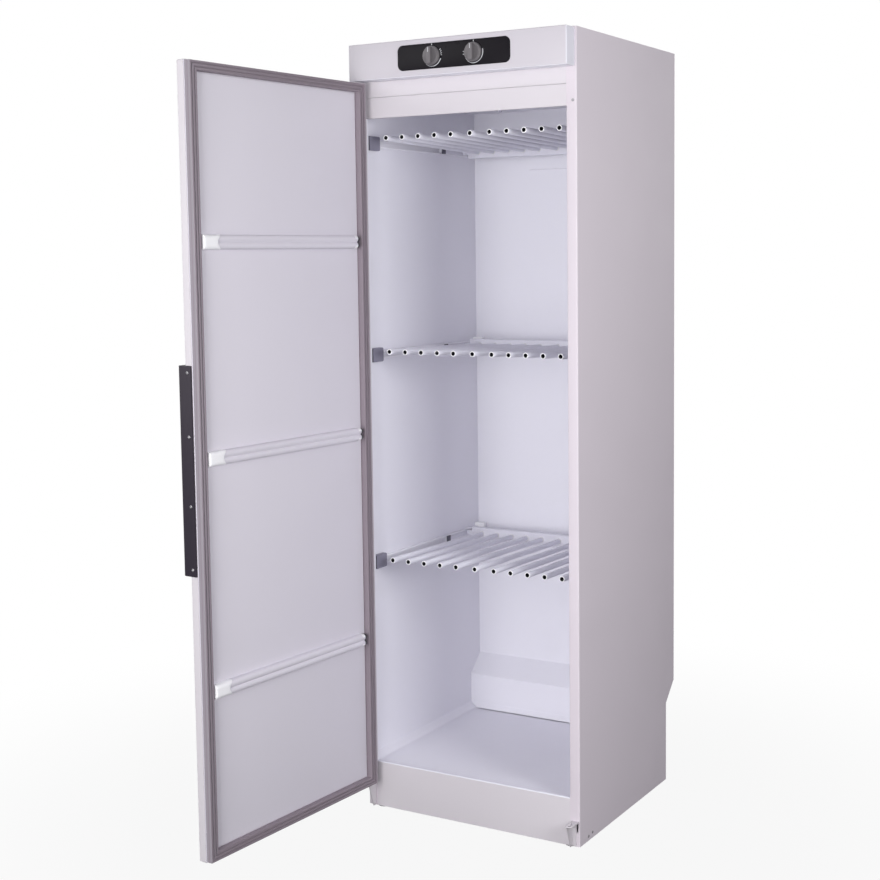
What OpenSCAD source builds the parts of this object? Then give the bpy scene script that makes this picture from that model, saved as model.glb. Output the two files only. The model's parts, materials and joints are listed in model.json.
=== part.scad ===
// Free-standing drying cabinet for clothes: a folded sheet-steel shell with a side-hung door,
// three pull-out racks of hanging tubes, and a fan and heater above the ceiling.
// X points right, Y points back and is 0 at the front of the body, Z points up from the floor.
// The door is drawn open, as the cabinet stands when it is being loaded.

/* [Body] */
// Width of the body
cab_w = 595; // [560:5:700]
// Depth of the body
cab_d = 570; // [560:5:650]
// Height of the body above the floor
cab_h = 1900; // [1880:10:2100]
// Gap between the shell and the floor
foot_gap = 4; // [3:0.5:8]
// Thickness of the sheet steel
sheet = 1; // [0.8:0.1:1.4]
// Width of the flange beside the door opening
flange_w = 26; // [24:1:32]
// Depth of the lip that stiffens the flange
flange_lip = 8; // [5:1:14]
// Depth of the recess low on the back
recess_d = 52; // [40:1:60]
// Height of the lower edge of the recess slope
recess_z = 211; // [180:1:240]
// Height of the recess slope
recess_slope = 50; // [30:1:80]
// Height of the plinth below the door opening
plinth_h = 120; // [110:1:160]
// Height of the floor pan below the plinth's top
floor_drop = 5; // [3:1:10]
// Width and height of the slope along the floor pan's sides
upstand = 16; // [10:1:24]
// Height of the fan space above the ceiling
fan_space = 120; // [115:1:160]

/* [Front] */
// Distance that the control fascia stands out from the body
fascia_d = 40; // [38:1:60]
// Height of the control fascia
fascia_h = 86; // [80:1:110]
// Width that the fascia is narrower than the body on each side
fascia_inset = 5; // [2:1:10]
// Distance of the fascia's top below the body's top
fascia_drop = 2; // [0:0.5:6]
// Height of the header's upper strip
header_h = 37; // [25:1:50]
// Height of the header's lower trim
trim_h = 50; // [35:1:70]
// Width of the dark control panel
insert_w = 302; // [260:1:340]
// Height of the dark control panel
insert_h = 59; // [52:1:70]
// Thickness of the dark control panel
insert_t = 2; // [1.5:0.5:4]
// Distance of each knob from the middle
knob_x = 56; // [50:1:90]
// Diameter of a knob
knob_d = 44; // [36:1:48]
// Height of a knob above the control panel
knob_h = 18; // [15:1:24]
// Diameter of a knob's spindle
spindle_d = 6; // [5:0.5:8]

/* [Door] */
// Width that the door is narrower than the body on each side
door_inset = 1.5; // [1:0.5:5]
// Height of the door's lower edge
door_z = 70; // [66:1:90]
// Gap between the door and the fascia
door_gap = 4; // [3.5:0.5:8]
// Depth of the door's outer pan
door_t = 20; // [16:1:24]
// Thickness of the door's inner plate
liner_t = 1.5; // [1:0.5:3]
// Height of the raised field of the inner plate
liner_rise = 2.5; // [1:0.5:6]
// Distance of the gasket from the door's edge
gasket_inset = 2; // [2:1:12]
// Width of the gasket
gasket_w = 21; // [14:1:24]
// Gap left between the closed gasket and the body
gasket_gap = 2.5; // [2.5:0.5:5]
// Angle at which the door stands open
door_open = 94; // [90:1:110]
// Distance of the hinge pin from the door's side edge
hinge_edge = 10; // [9:1:14]
// Distance of the hinge pin behind the door's outer face
hinge_back = 7; // [6:1:10]
// Diameter of the hinge pins
pin_d = 8; // [6:0.5:10]
// Length of a hinge pin inside the door
pin_l = 20; // [12:1:30]

/* [Door fittings] */
// Depths of the three rails below the door's upper edge
door_rail_drop = [1359, 847, 381];
// Height of a door rail
door_rail_h = 31; // [24:1:40]
// Distance that a door rail stands off the inner plate
door_rail_d = 17; // [15:1:22]
// Gap between the gasket and a door rail's end, hinge side
door_rail_gap = 20; // [12:1:60]
// Gap between the gasket and a door rail's cap, handle side
cap_gap = 4; // [1:1:40]
// Width of the cap on a door rail's end
cap_w = 60; // [40:1:70]
// Depth of the hollow where the cap meets the rail
scoop_d = 13; // [5:0.5:14]
// Height of the handle's lower end
handle_z = 708; // [500:1:900]
// Length of the handle
handle_l = 457; // [300:1:600]
// Thickness of the handle
handle_t = 4; // [3:0.5:6]
// Distance that the handle stands out from the door's outer face
handle_out = 18; // [16:1:40]
// Width of the handle's grip
handle_grip = 32; // [24:1:45]
// Distance of the outer screws from the handle's ends
screw_edge = 15; // [8:1:30]
// Distance between the two screws at each end of the handle
screw_step = 138; // [60:1:140]

/* [Racks] */
// Depth of the highest rack below the ceiling
rack_drop = 110; // [90:1:130]
// Distance between racks
rack_pitch = 524; // [480:1:530]
// Outer diameter of a hanging tube
tube_d = 14; // [10:1:16]
// Wall of a hanging tube
tube_wall = 1.2; // [0.8:0.1:2]
// Tubes on each side of the middle tube
side_tubes = 5; // [3:1:5]
// Distance between tubes
tube_pitch = 46; // [38:1:46]
// Distance between the middle tube and the next
mid_pitch = 53; // [40:1:53]
// Distance of the tubes' front ends from the front of the body
tube_y = 33; // [25:1:80]
// Slope of the tubes, up to the front
tube_slope = 1.3; // [0:0.1:3]
// Distance of the crossbar from the front of the body
bar_y = 484; // [420:1:486]
// Height of the crossbar
bar_h = 34; // [28:1:40]
// Depth of the crossbar
bar_t = 14; // [10:1:16]
// Gap between the crossbar's end and its glide
bar_gap = 18; // [17:1:30]
// Distance that a rack pulls out
rack_travel = 290; // [100:10:290]
// Height of a wall rail
rail_h = 20; // [18:1:26]
// Depth of a wall rail
rail_d = 9; // [8:0.5:12]
// Height of the slot along a wall rail
rail_slot = 12; // [10:0.5:14]
// Start of the wall rails behind the front of the body
rail_y = 79; // [70:1:85]
// End of the wall rails behind the front of the body
rail_end_y = 548; // [520:1:552]
// Gap round each sliding piece
slide_gap = 0.4; // [0.3:0.1:0.6]

/* [Fan and heater] */
// Side of the square fan box
fan_box = 280; // [250:5:300]
// Height of the fan box
fan_box_h = 70; // [60:1:72]
// Distance of the fan from the front of the body
fan_y = 200; // [180:5:230]
// Diameter of the fan wheel
wheel_d = 140; // [110:1:150]
// Diameter of the ring heater
heater_d = 205; // [195:1:220]
// Diameter of the exhaust duct
duct_d = 100; // [80:5:125]
// Distance of the exhaust duct from the front of the body
duct_y = 460; // [455:1:475]
// Height of the exhaust duct above the roof
duct_up = 35; // [20:1:60]

/* [Hidden] */
$fn = 48;

white = "#e9e8ee";
pale = "#d6d4df";
grey = "#8a8790";
dark = "#47454c";
steel = "#b9bbc2";

// Body
half_w = cab_w / 2;
wall_x = half_w - sheet;
back_y = cab_d - sheet;
low_back_y = cab_d - recess_d - sheet;
open_x = half_w - flange_w;
floor_z = plinth_h - floor_drop;
ceiling_z = cab_h - fan_space;
roof_z = cab_h - sheet;

// Front
fascia_top = cab_h - fascia_drop;
fascia_z = fascia_top - fascia_h;
fascia_x = half_w - fascia_inset;
seam_z = fascia_z - header_h;
header_z = seam_z - trim_h;
knob_z = fascia_z + fascia_h / 2 + 1;
cutout_edge = 3;
insert_r = 14;
insert_face_y = -fascia_d - insert_t;
insert_back_y = sheet - fascia_d;
knob_skirt = 6;
knob_step = 2;
knob_gap = 0.4;
grip_w = 11;
unit_side = 44;
timer_unit_d = 28;
switch_unit_d = 22;
tab_step = 12;
tab_w = 6;
tab_t = 1;
tab_z = 10;
spindle_in_unit = 14;
spindle_in_knob = 12;
spindle_gap = 0.1;

// Door
door_half = half_w - door_inset;
door_top = fascia_z - door_gap;
door_face_y = -fascia_d;
door_seam_y = door_face_y + door_t;
plate_y = door_seam_y + liner_t;
liner_y = plate_y + liner_rise;
hinge_x = hinge_edge - door_half;
hinge_y = door_face_y + hinge_back;
bush_wall = 1.8;
bush_r = pin_d / 2 + bush_wall;
bush_flange = 1.2;
bush_flange_r = bush_r + 2;
pin_gap = 0.05;
fit_gap = 0.1;
edge_gap = 0.3;

// Hinge brackets
bracket_t = 2.5;
bracket_r = 10;
leg_w = 12;
bracket_z = 66;
bracket_tip = 12;
bracket_foot_z = 5;
bracket_step = 5;
bracket_top = fascia_z - 0.5;
upper_leg_h = 36;
boss_r = 8;

// Racks
rack_heights = [for (i = [2, 1, 0]) ceiling_z - rack_drop - i * rack_pitch];
rail_sheet = 1;
rail_x = wall_x - rail_d;
glide_out = 1.5;
glide_x = rail_x - glide_out;
bar_half = glide_x - bar_gap;
glide_lead = 7;
glide_front_y = rail_y + glide_lead + rack_travel;
shoe_l = 17;
shoe_t = 3;
shoe_inset = 1.5;
shoe_lead = 0.5;
pad_l = 20;
stop_l = 8.6;
stem_t = 2;
bracket_l = 28.5;
bracket_d = 14;
bracket_rise = 18;
block_l = 47;
block_h = 35;
block_t = 12;
block_corner = 4;
bar_sheet = 1.5;
tongue_l = 10;
tongue_inset = 2;

// Fan space
plate_t = 1;
motor_r = 38;
motor_h = 42;
shaft_r = 4;

function tube_x(i) = i == 0 ? 0 : sign(i) * (mid_pitch + (abs(i) - 1) * tube_pitch);

// A block between two corners
module block(low, high) {
    translate(low) cube(high - low);
}

// A cylinder along Y from y0 to y1
module bar_along_y(x, y0, y1, z, r) {
    translate([x, y1, z]) rotate([90, 0, 0]) cylinder(r = r, h = y1 - y0);
}

// A cylinder along X from x0 to x1
module bar_along_x(x0, x1, y, z, r) {
    translate([x0, y, z]) rotate([0, 90, 0]) cylinder(r = r, h = x1 - x0);
}

// A flat outline drawn in X and Z, given its thickness from y0 to y1
module upright(y0, y1) {
    translate([0, y1, 0]) rotate([90, 0, 0]) linear_extrude(y1 - y0) children();
}

// A flat outline drawn in Y and Z, given its thickness from x0 to x1
module sideways(x0, x1) {
    translate([x0, 0, 0]) rotate([90, 0, 90]) linear_extrude(x1 - x0) children();
}

// A rectangle with round corners about a centre
module round_rect(w, h, r) {
    union() {
        square([w - 2 * r, h], center = true);
        square([w, h - 2 * r], center = true);
        for (x = [-1, 1], z = [-1, 1])
            translate([x * (w / 2 - r), z * (h / 2 - r)]) circle(r);
    }
}

// An upright rectangular frame from y0 to y1
module frame(x, z0, z1, w, y0, y1) {
    difference() {
        block([-x, y0, z0], [x, y1, z1]);
        block([-x + w, y0 - 1, z0 + w], [x - w, y1 + 1, z1 - w]);
    }
}

// Turns what is drawn on the closed door to where the door stands open
module on_door() {
    translate([hinge_x, hinge_y, 0]) rotate([0, 0, -door_open])
        translate([-hinge_x, -hinge_y, 0]) children();
}

// The same piece on the left and on the right
module both_sides() {
    children();
    mirror([1, 0, 0]) children();
}

// ---- Shell ----

module side_outline() {
    polygon([
        [0, foot_gap], [0, cab_h], [cab_d, cab_h], [cab_d, recess_z + recess_slope],
        [cab_d - recess_d, recess_z], [cab_d - recess_d, foot_gap]
    ]);
}

slot_x = half_w - flange_w / 4;
slot_w = 4;
slot_z = 38;
slot_h = 20;

// The right side, with its front flange and lip folded from the same sheet
module side_panel() {
    difference() {
        union() {
            sideways(wall_x, half_w) side_outline();
            block([open_x, 0, foot_gap], [half_w, sheet, cab_h]);
            block([open_x, 0, plinth_h], [open_x + sheet, flange_lip, header_z]);
        }
        block([slot_x - slot_w / 2, -1, slot_z],
            [slot_x + slot_w / 2, sheet + 1, slot_z + slot_h]);
    }
}

module right_side_panel() {
    color(pale) side_panel();
}

module left_side_panel() {
    color(white) mirror([1, 0, 0]) side_panel();
}

fixing_x = 220;
fixing_z = cab_h - 45;
fixing_r = 4.5;

module back_panel() {
    color(pale) difference() {
        sideways(-wall_x, wall_x) difference() {
            side_outline();
            translate([-sheet, 0]) side_outline();
            translate([-1, roof_z]) square([cab_d + 2, sheet + 1]);
            translate([-1, 0]) square([2, cab_h + 1]);
        }
        for (x = [-fixing_x, fixing_x])
            bar_along_y(x, back_y - 1, cab_d + 1, fixing_z, fixing_r);
    }
}

gland_x = 220;
gland_y = cab_d - 40;
gland_r = 10;

module roof_panel() {
    color(pale) difference() {
        block([-wall_x, sheet, roof_z], [wall_x, cab_d, cab_h]);
        translate([0, duct_y, roof_z - 1]) cylinder(r = duct_d / 2 + edge_gap, h = sheet + 2);
        translate([gland_x, gland_y, roof_z - 1]) cylinder(r = gland_r + fit_gap, h = sheet + 2);
    }
}

slot_count = 9;
air_slot_l = 60;
side_slot_l = 18;
air_slot_w = 6;
air_slot_step = 12;
side_slot_step = 26;
side_slot_inset = 20;

// Slots in two sizes: a block of long ones under the fan and a row of short ones on each side
module air_slots() {
    for (i = [0 : slot_count - 1])
        translate([-air_slot_l / 2, fan_y + (i - (slot_count - 1) / 2) * air_slot_step, 0])
            cube([air_slot_l, air_slot_w, sheet + 2]);
    for (i = [0 : slot_count - 1], x = [-1, 1])
        translate([
            x * (fan_box / 2 - side_slot_inset) - air_slot_w / 2,
            fan_y - fan_box / 2 + side_slot_inset + i * side_slot_step,
            0
        ])
            cube([air_slot_w, side_slot_l, sheet + 2]);
}

module ceiling_panel() {
    under = ceiling_z - sheet;
    color(pale) difference() {
        block([-wall_x, flange_lip + edge_gap, under], [wall_x, back_y, ceiling_z]);
        translate([0, duct_y, under - 1]) cylinder(r = duct_d / 2 + edge_gap, h = sheet + 2);
        translate([0, 0, under - 1]) air_slots();
        translate([probe_x, probe_y, under - 1]) cylinder(r = probe_r + edge_gap, h = sheet + 2);
    }
}

// The strip under the fascia carries on behind it, open where the controls are
module header_panel() {
    color(white) difference() {
        union() {
            block([-open_x, 0, seam_z], [open_x, sheet, cab_h]);
            block([-open_x, sheet, roof_z - sheet], [open_x, flange_lip, roof_z]);
        }
        block([-insert_w / 2, -1, knob_z - insert_h / 2],
            [insert_w / 2, sheet + 1, knob_z + insert_h / 2]);
    }
}

module header_trim() {
    top = seam_z - edge_gap;
    color(white) union() {
        block([-open_x, 0, header_z], [open_x, sheet, top]);
        block([-open_x, 0, header_z], [open_x, flange_lip, header_z + sheet]);
        block([-open_x, 0, top - sheet], [open_x, flange_lip, top]);
        block([-open_x, flange_lip, top - sheet], [open_x, flange_lip + sheet, ceiling_z - sheet]);
    }
}

module floor_pan() {
    flat_x = wall_x - upstand;
    rim_z = floor_z + upstand;
    color(pale) union() {
        upright(sheet, low_back_y) polygon([
            [-wall_x, rim_z], [-flat_x, floor_z], [flat_x, floor_z], [wall_x, rim_z],
            [wall_x, rim_z - sheet], [flat_x, floor_z - sheet],
            [-flat_x, floor_z - sheet], [-wall_x, rim_z - sheet]
        ]);
        block([-open_x, sheet, floor_z - sheet], [open_x, 2 * sheet, plinth_h - sheet]);
        block([-flat_x, low_back_y - sheet, floor_z - sheet], [flat_x, low_back_y, rim_z]);
    }
}

module plinth_panel() {
    color(white) union() {
        block([-open_x, 0, foot_gap], [open_x, sheet, plinth_h]);
        block([-open_x, 0, plinth_h - sheet], [open_x, flange_lip, plinth_h]);
    }
}

frame_w = 40;
frame_h = 36;
frame_t = 2;
frame_lead = 2;
frame_top = foot_gap + frame_h;
tie_w = 20;
foot_inset = 32;
foot_x = half_w - foot_inset;
front_foot_y = frame_lead + frame_w / 2;
rear_foot_y = low_back_y - frame_w / 2;
foot_stem_r = 4;
foot_stem_h = 52;
foot_pad_r = 17;
nut_r = 8;
nut_h = 6.5;
pad_gap = 0.5;

// Two upturned channels with weld nuts that take the feet
module base_frame() {
    inner = frame_w / 2 - frame_t;
    color(steel) difference() {
        union() {
            for (y = [front_foot_y, rear_foot_y]) {
                difference() {
                    block([-wall_x, y - frame_w / 2, foot_gap], [wall_x, y + frame_w / 2, frame_top]);
                    block([-wall_x - 1, y - inner, 0], [wall_x + 1, y + inner, frame_top - frame_t]);
                }
                for (x = [-foot_x, foot_x])
                    translate([x, y, frame_top]) cylinder(r = nut_r, h = nut_h, $fn = 6);
            }
            for (x = [-foot_x, foot_x])
                block([x - tie_w / 2, front_foot_y + frame_w / 2, frame_top - frame_t],
                    [x + tie_w / 2, rear_foot_y - frame_w / 2, frame_top]);
        }
        for (x = [-foot_x, foot_x], y = [front_foot_y, rear_foot_y])
            translate([x, y, 0]) cylinder(r = foot_stem_r + pin_gap, h = frame_top + nut_h + 1);
    }
}

module levelling_feet() {
    color(dark) for (x = [-foot_x, foot_x], y = [front_foot_y, rear_foot_y])
        translate([x, y, 0]) union() {
            cylinder(r = foot_pad_r, h = foot_gap - pad_gap);
            cylinder(r = foot_stem_r, h = foot_stem_h);
        }
}

// ---- Front and controls ----

module control_fascia() {
    inner_x = fascia_x - sheet;
    color(white) difference() {
        block([-fascia_x, -fascia_d, fascia_z], [fascia_x, 0, fascia_top]);
        block([-inner_x, sheet - fascia_d, fascia_z + sheet], [inner_x, 1, fascia_top - sheet]);
        block([-inner_x, -bracket_t - 1, fascia_z - 1], [inner_x, 1, fascia_z + sheet + 1]);
        upright(-fascia_d - 1, sheet - fascia_d + 1) translate([0, knob_z]) insert_outline(cutout_edge);
    }
}

// The dark panel's outline, drawn in by the given distance
module insert_outline(edge) {
    round_rect(insert_w - 2 * edge, insert_h - 2 * edge, insert_r - edge);
}

module control_insert() {
    color("#2d2f38") difference() {
        union() {
            upright(insert_face_y, -fascia_d) translate([0, knob_z]) insert_outline(0);
            upright(-fascia_d, insert_back_y) translate([0, knob_z])
                insert_outline(cutout_edge + fit_gap);
        }
        for (x = [-knob_x, knob_x])
            bar_along_y(x, insert_face_y - 1, insert_back_y + 1, knob_z, spindle_d / 2 + edge_gap);
    }
}

// Round skirt, and a finger bar across it
module knob() {
    back = insert_face_y - knob_gap;
    front = insert_face_y - knob_h;
    difference() {
        union() {
            bar_along_y(0, back - knob_skirt, back, knob_z, knob_d / 2);
            bar_along_y(0, back - knob_skirt - knob_step, back, knob_z, knob_d / 2 - knob_step);
            upright(front, back) translate([0, knob_z]) intersection() {
                circle(knob_d / 2 - knob_step);
                square([grip_w, knob_d], center = true);
            }
        }
        bar_along_y(0, back - spindle_in_knob, back + 1, knob_z, spindle_d / 2 + pin_gap);
    }
}

module timer_knob() {
    color(grey) translate([-knob_x, 0, 0]) knob();
}

module selector_knob() {
    color(grey) translate([knob_x, 0, 0]) knob();
}

module spindle(x) {
    bar_along_y(x, insert_face_y - knob_gap - spindle_in_knob, insert_back_y + spindle_in_unit,
        knob_z, spindle_d / 2);
}

module timer_spindle() {
    color(steel) spindle(-knob_x);
}

module selector_spindle() {
    color(steel) spindle(knob_x);
}

// Square housing behind a knob, with three tabs for the wires
module switch_unit(x, d) {
    rear = insert_back_y + d;
    difference() {
        union() {
            block([x - unit_side / 2, insert_back_y, knob_z - unit_side / 2],
                [x + unit_side / 2, rear, knob_z + unit_side / 2]);
            for (i = [-1, 0, 1]) translate([x + i * tab_step - tab_w / 2, rear, knob_z - tab_z])
                cube([tab_w, tab_w, tab_t]);
        }
        bar_along_y(x, insert_back_y - 1, insert_back_y + spindle_in_unit + 1, knob_z,
            spindle_d / 2 + spindle_gap);
    }
}

module timer_unit() {
    color(pale) switch_unit(-knob_x, timer_unit_d);
}

module selector_switch() {
    color(dark) switch_unit(knob_x, switch_unit_d);
}

// ---- Fan space ----

box_x = fan_box / 2;
box_top = ceiling_z + fan_box_h;
box_flange = 10;
wheel_low_gap = 10;
wheel_high_gap = 14;
wheel_z0 = ceiling_z + wheel_low_gap;
wheel_z1 = box_top - wheel_high_gap;
wheel_r = wheel_d / 2;
wheel_plate = 2;
hub_r = 12;
blade_count = 24;
blade_l = 16;
blade_t = 1.2;
shaft_nose = 3;
shaft_in_motor = motor_h / 2 - 1;
shaft_clear = 4;
motor_flange = 14;
motor_plate = 3;
heater_rod_r = 4;
heater_z = ceiling_z + fan_box_h / 2;
heater_leg_up = 12;
terminal_gap = 30;
terminal_y = sqrt(heater_d * heater_d - terminal_gap * terminal_gap) / 2;
knuckle_r = heater_rod_r + 0.8;

module fan_box_cover() {
    inner = box_x - plate_t;
    color(steel) difference() {
        union() {
            block([-box_x, fan_y - box_x, ceiling_z], [box_x, fan_y + box_x, box_top]);
            block([-box_x - box_flange, fan_y - box_x, ceiling_z],
                [box_x + box_flange, fan_y + box_x, ceiling_z + plate_t]);
        }
        block([-inner, fan_y - inner, ceiling_z - 1], [inner, fan_y + inner, box_top - plate_t]);
        translate([0, fan_y, box_top - plate_t - 1])
            cylinder(r = shaft_r + shaft_clear, h = plate_t + 2);
        for (x = [-1, 1])
            translate([x * terminal_gap / 2, fan_y + terminal_y, box_top - plate_t - 1])
                cylinder(r = heater_rod_r + fit_gap, h = plate_t + 2);
    }
}

// Motor can, bolted to the top of the fan box by its flange
module fan_motor() {
    color(dark) translate([0, fan_y, box_top]) difference() {
        union() {
            cylinder(r = motor_r + motor_flange, h = motor_plate);
            cylinder(r = motor_r, h = motor_h);
            translate([0, 0, motor_h]) cylinder(r = motor_r / 2, h = motor_plate);
        }
        translate([0, 0, -1]) cylinder(r = shaft_r + spindle_gap, h = motor_h / 2 + 1);
    }
}

module fan_shaft() {
    low = wheel_z0 - shaft_nose;
    color(steel) translate([0, fan_y, low])
        cylinder(r = shaft_r, h = box_top + shaft_in_motor - low);
}

// Back plate, hub and a ring of blades held by a rim
module fan_wheel() {
    lip = wheel_plate / 2;
    color(steel) translate([0, fan_y, 0]) difference() {
        union() {
            translate([0, 0, wheel_z1 - wheel_plate]) cylinder(r = wheel_r, h = wheel_plate);
            translate([0, 0, wheel_z0]) cylinder(r = hub_r, h = wheel_z1 - wheel_z0);
            for (i = [0 : blade_count - 1]) rotate([0, 0, i * 360 / blade_count])
                block([wheel_r - blade_l, -blade_t / 2, wheel_z0 + lip],
                    [wheel_r - lip, blade_t / 2, wheel_z1 - lip]);
            difference() {
                translate([0, 0, wheel_z0]) cylinder(r = wheel_r, h = wheel_plate);
                translate([0, 0, wheel_z0 - 1]) cylinder(r = wheel_r - blade_l, h = wheel_plate + 2);
            }
        }
        translate([0, 0, wheel_z0 - 1]) cylinder(r = shaft_r + pin_gap, h = wheel_z1 - wheel_z0 + 2);
    }
}

// Open ring of heater rod with two legs up through the fan box
module heater_ring() {
    gap_angle = 2 * asin(terminal_gap / heater_d);
    color(grey) translate([0, fan_y, heater_z]) union() {
        rotate([0, 0, 90 + gap_angle / 2]) rotate_extrude(angle = 360 - gap_angle)
            translate([heater_d / 2, 0]) circle(heater_rod_r);
        for (a = [-1, 1]) rotate([0, 0, 90 + a * gap_angle / 2]) translate([heater_d / 2, 0, 0]) {
            sphere(knuckle_r);
            cylinder(r = heater_rod_r, h = box_top + heater_leg_up - heater_z);
        }
    }
}

probe_x = 200;
probe_y = 120;
probe_r = 3;
probe_l = 12;
thermostat_l = 40;
thermostat_w = 32;
thermostat_h = 40;

module thermostat() {
    color(pale) translate([probe_x, probe_y, ceiling_z]) union() {
        block([-thermostat_l / 2, -thermostat_w / 2, 0],
            [thermostat_l / 2, thermostat_w / 2, thermostat_h]);
        translate([0, 0, -sheet - probe_l]) cylinder(r = probe_r, h = sheet + probe_l + 1);
    }
}

terminal_back = 30;
terminal_l = 80;
terminal_w = 30;
terminal_h = 22;
terminal_step = 15;
terminal_r = 4;
terminal_depth = 10;

module terminal_block() {
    color(white) translate([gland_x, gland_y - terminal_back - terminal_w / 2, ceiling_z]) difference() {
        block([-terminal_l / 2, -terminal_w / 2, 0], [terminal_l / 2, terminal_w / 2, terminal_h]);
        for (i = [-2 : 2]) translate([i * terminal_step, 0, terminal_h - terminal_depth])
            cylinder(r = terminal_r, h = terminal_depth + 1);
    }
}

switch_x = 99;
switch_r = 3;
switch_h = 4;

// Small reed switch in the header's lower lip, which shows as a dark dot
module door_switch() {
    color(dark) translate([switch_x, flange_lip / 2, header_z - switch_h])
        cylinder(r = switch_r, h = switch_h);
}

cover_w = 240;
cover_h = 158;
cover_d = 15;
cover_slots = 7;
cover_slot_l = 20;
cover_slot_step = 32;
cover_slot_front = 4;
cover_slot_back = 3;

// Folded cover on the back wall, open at its top and slotted below
module duct_cover() {
    top = ceiling_z - sheet;
    front = back_y - cover_d;
    inner_x = cover_w / 2 - sheet;
    color(pale) difference() {
        block([-cover_w / 2, front, top - cover_h], [cover_w / 2, back_y, top]);
        block([-inner_x, front + sheet, top - cover_h + sheet], [inner_x, back_y + 1, top + 1]);
        for (i = [0 : cover_slots - 1])
            translate([(i - (cover_slots - 1) / 2) * cover_slot_step, 0, top - cover_h])
                block([-cover_slot_l / 2, front + cover_slot_front, -1],
                    [cover_slot_l / 2, back_y - cover_slot_back, sheet + 1]);
    }
}

collar_w = 12;
collar_t = 1.5;
duct_wall = 1;

module exhaust_duct() {
    low = ceiling_z - sheet;
    length = cab_h + duct_up - low;
    color(steel) translate([0, duct_y, 0]) difference() {
        union() {
            translate([0, 0, low]) cylinder(r = duct_d / 2, h = length);
            for (z = [ceiling_z, cab_h])
                translate([0, 0, z]) cylinder(r = duct_d / 2 + collar_w, h = collar_t);
        }
        translate([0, 0, low - 1]) cylinder(r = duct_d / 2 - duct_wall, h = length + 2);
    }
}

gland_bore_r = 4;
gland_flat = 4;
gland_hex_h = 5;
gland_up = 14;
gland_down = 8;

// Gland for the mains lead, with a hexagon above the roof and a nut below it
module cable_gland() {
    length = gland_down + sheet + gland_up;
    color(dark) translate([gland_x, gland_y, roof_z - gland_down]) difference() {
        union() {
            cylinder(r = gland_r, h = length);
            for (z = [gland_down - gland_hex_h, gland_down + sheet])
                translate([0, 0, z]) cylinder(r = gland_r + gland_flat, h = gland_hex_h, $fn = 6);
        }
        translate([0, 0, -1]) cylinder(r = gland_bore_r, h = length + 2);
    }
}

// ---- Hinges ----

// Outline of a bracket's plate, seen from above, with a round nose about the pin
module bracket_outline() {
    union() {
        translate([hinge_x - bracket_r, hinge_y]) square([2 * bracket_r, -hinge_y]);
        translate([hinge_x, hinge_y]) circle(bracket_r);
    }
}

module upper_hinge_bracket() {
    color(white) difference() {
        union() {
            translate([0, 0, bracket_top - bracket_t]) linear_extrude(bracket_t) bracket_outline();
            block([hinge_x - bracket_r + bracket_step, -bracket_t, bracket_top - bracket_t],
                [hinge_x + bracket_r, 0, bracket_top + upper_leg_h]);
        }
        translate([hinge_x, hinge_y, bracket_top - bracket_t - 1])
            cylinder(r = pin_d / 2, h = bracket_t + 2);
    }
}

// Shared by the lower bracket and its spare for a door hung on the other side
module low_bracket() {
    inner = hinge_x + bracket_r;
    difference() {
        union() {
            translate([0, 0, bracket_z - bracket_t]) linear_extrude(bracket_t) bracket_outline();
            block([inner - leg_w, -bracket_t, bracket_foot_z], [inner, 0, bracket_z]);
            sideways(inner - bracket_t, inner) polygon([
                [0, bracket_foot_z], [0, bracket_z - bracket_t / 2], [hinge_y, bracket_z - bracket_t / 2],
                [-bracket_tip, bracket_foot_z]
            ]);
        }
        translate([hinge_x, hinge_y, bracket_z - bracket_t - 1]) cylinder(r = pin_d / 2, h = bracket_t + 2);
    }
}

module lower_hinge_bracket() {
    color(white) low_bracket();
}

module spare_hinge_bracket() {
    color(white) mirror([1, 0, 0]) low_bracket();
}

module hinge_pins() {
    low = bracket_z - bracket_t;
    boss_h = door_z - bush_flange - edge_gap - bracket_z;
    color(steel) translate([hinge_x, hinge_y, 0]) union() {
        translate([0, 0, door_top - pin_l]) cylinder(r = pin_d / 2, h = bracket_top - door_top + pin_l);
        translate([0, 0, low]) cylinder(r = pin_d / 2, h = door_z + pin_l - low);
        translate([0, 0, bracket_z]) cylinder(r = boss_r, h = boss_h);
    }
}

bush_end = 2;
bush_l = pin_l + bush_end + 1;

// Closed bushes in both ends of the door; the lower one has a flange that carries the door
module hinge_bushes() {
    bore_r = pin_d / 2 + pin_gap;
    color(dark) on_door() translate([hinge_x, hinge_y, 0]) difference() {
        union() {
            translate([0, 0, door_z - bush_flange]) cylinder(r = bush_flange_r, h = bush_flange);
            for (z = [door_z, door_top - bush_l]) translate([0, 0, z]) cylinder(r = bush_r, h = bush_l);
        }
        translate([0, 0, door_z - bush_flange - 1])
            cylinder(r = bore_r, h = bush_l - bush_end + bush_flange + 1);
        translate([0, 0, door_top - bush_l + bush_end]) cylinder(r = bore_r, h = bush_l - bush_end + 1);
    }
}

screw_head_r = 3.5;
screw_head_h = 1;
flange_screw = [half_w - 9.5, header_z + 12];
side_screws = [[68, 18], [46, 15]];

// Heads of the screws that show on the flanges and low on the sides
module panel_screws() {
    color(grey) both_sides() {
        bar_along_y(flange_screw[0], -screw_head_h, 0, flange_screw[1], screw_head_r);
        for (p = side_screws) bar_along_x(half_w, half_w + screw_head_h, p[0], p[1], screw_head_r);
    }
}

// ---- Door ----

// Room for the bushes at both ends of the door
module bush_holes() {
    depth = bush_l + fit_gap;
    for (z = [door_z - 1, door_top - depth])
        translate([hinge_x, hinge_y, z]) cylinder(r = bush_r + fit_gap, h = depth + 1);
}

// The space inside the door's pan, open at the back as far as the given depth
module pan_space(y) {
    x = door_half - sheet;
    block([-x, door_face_y + sheet, door_z + sheet], [x, y, door_top - sheet]);
}

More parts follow.
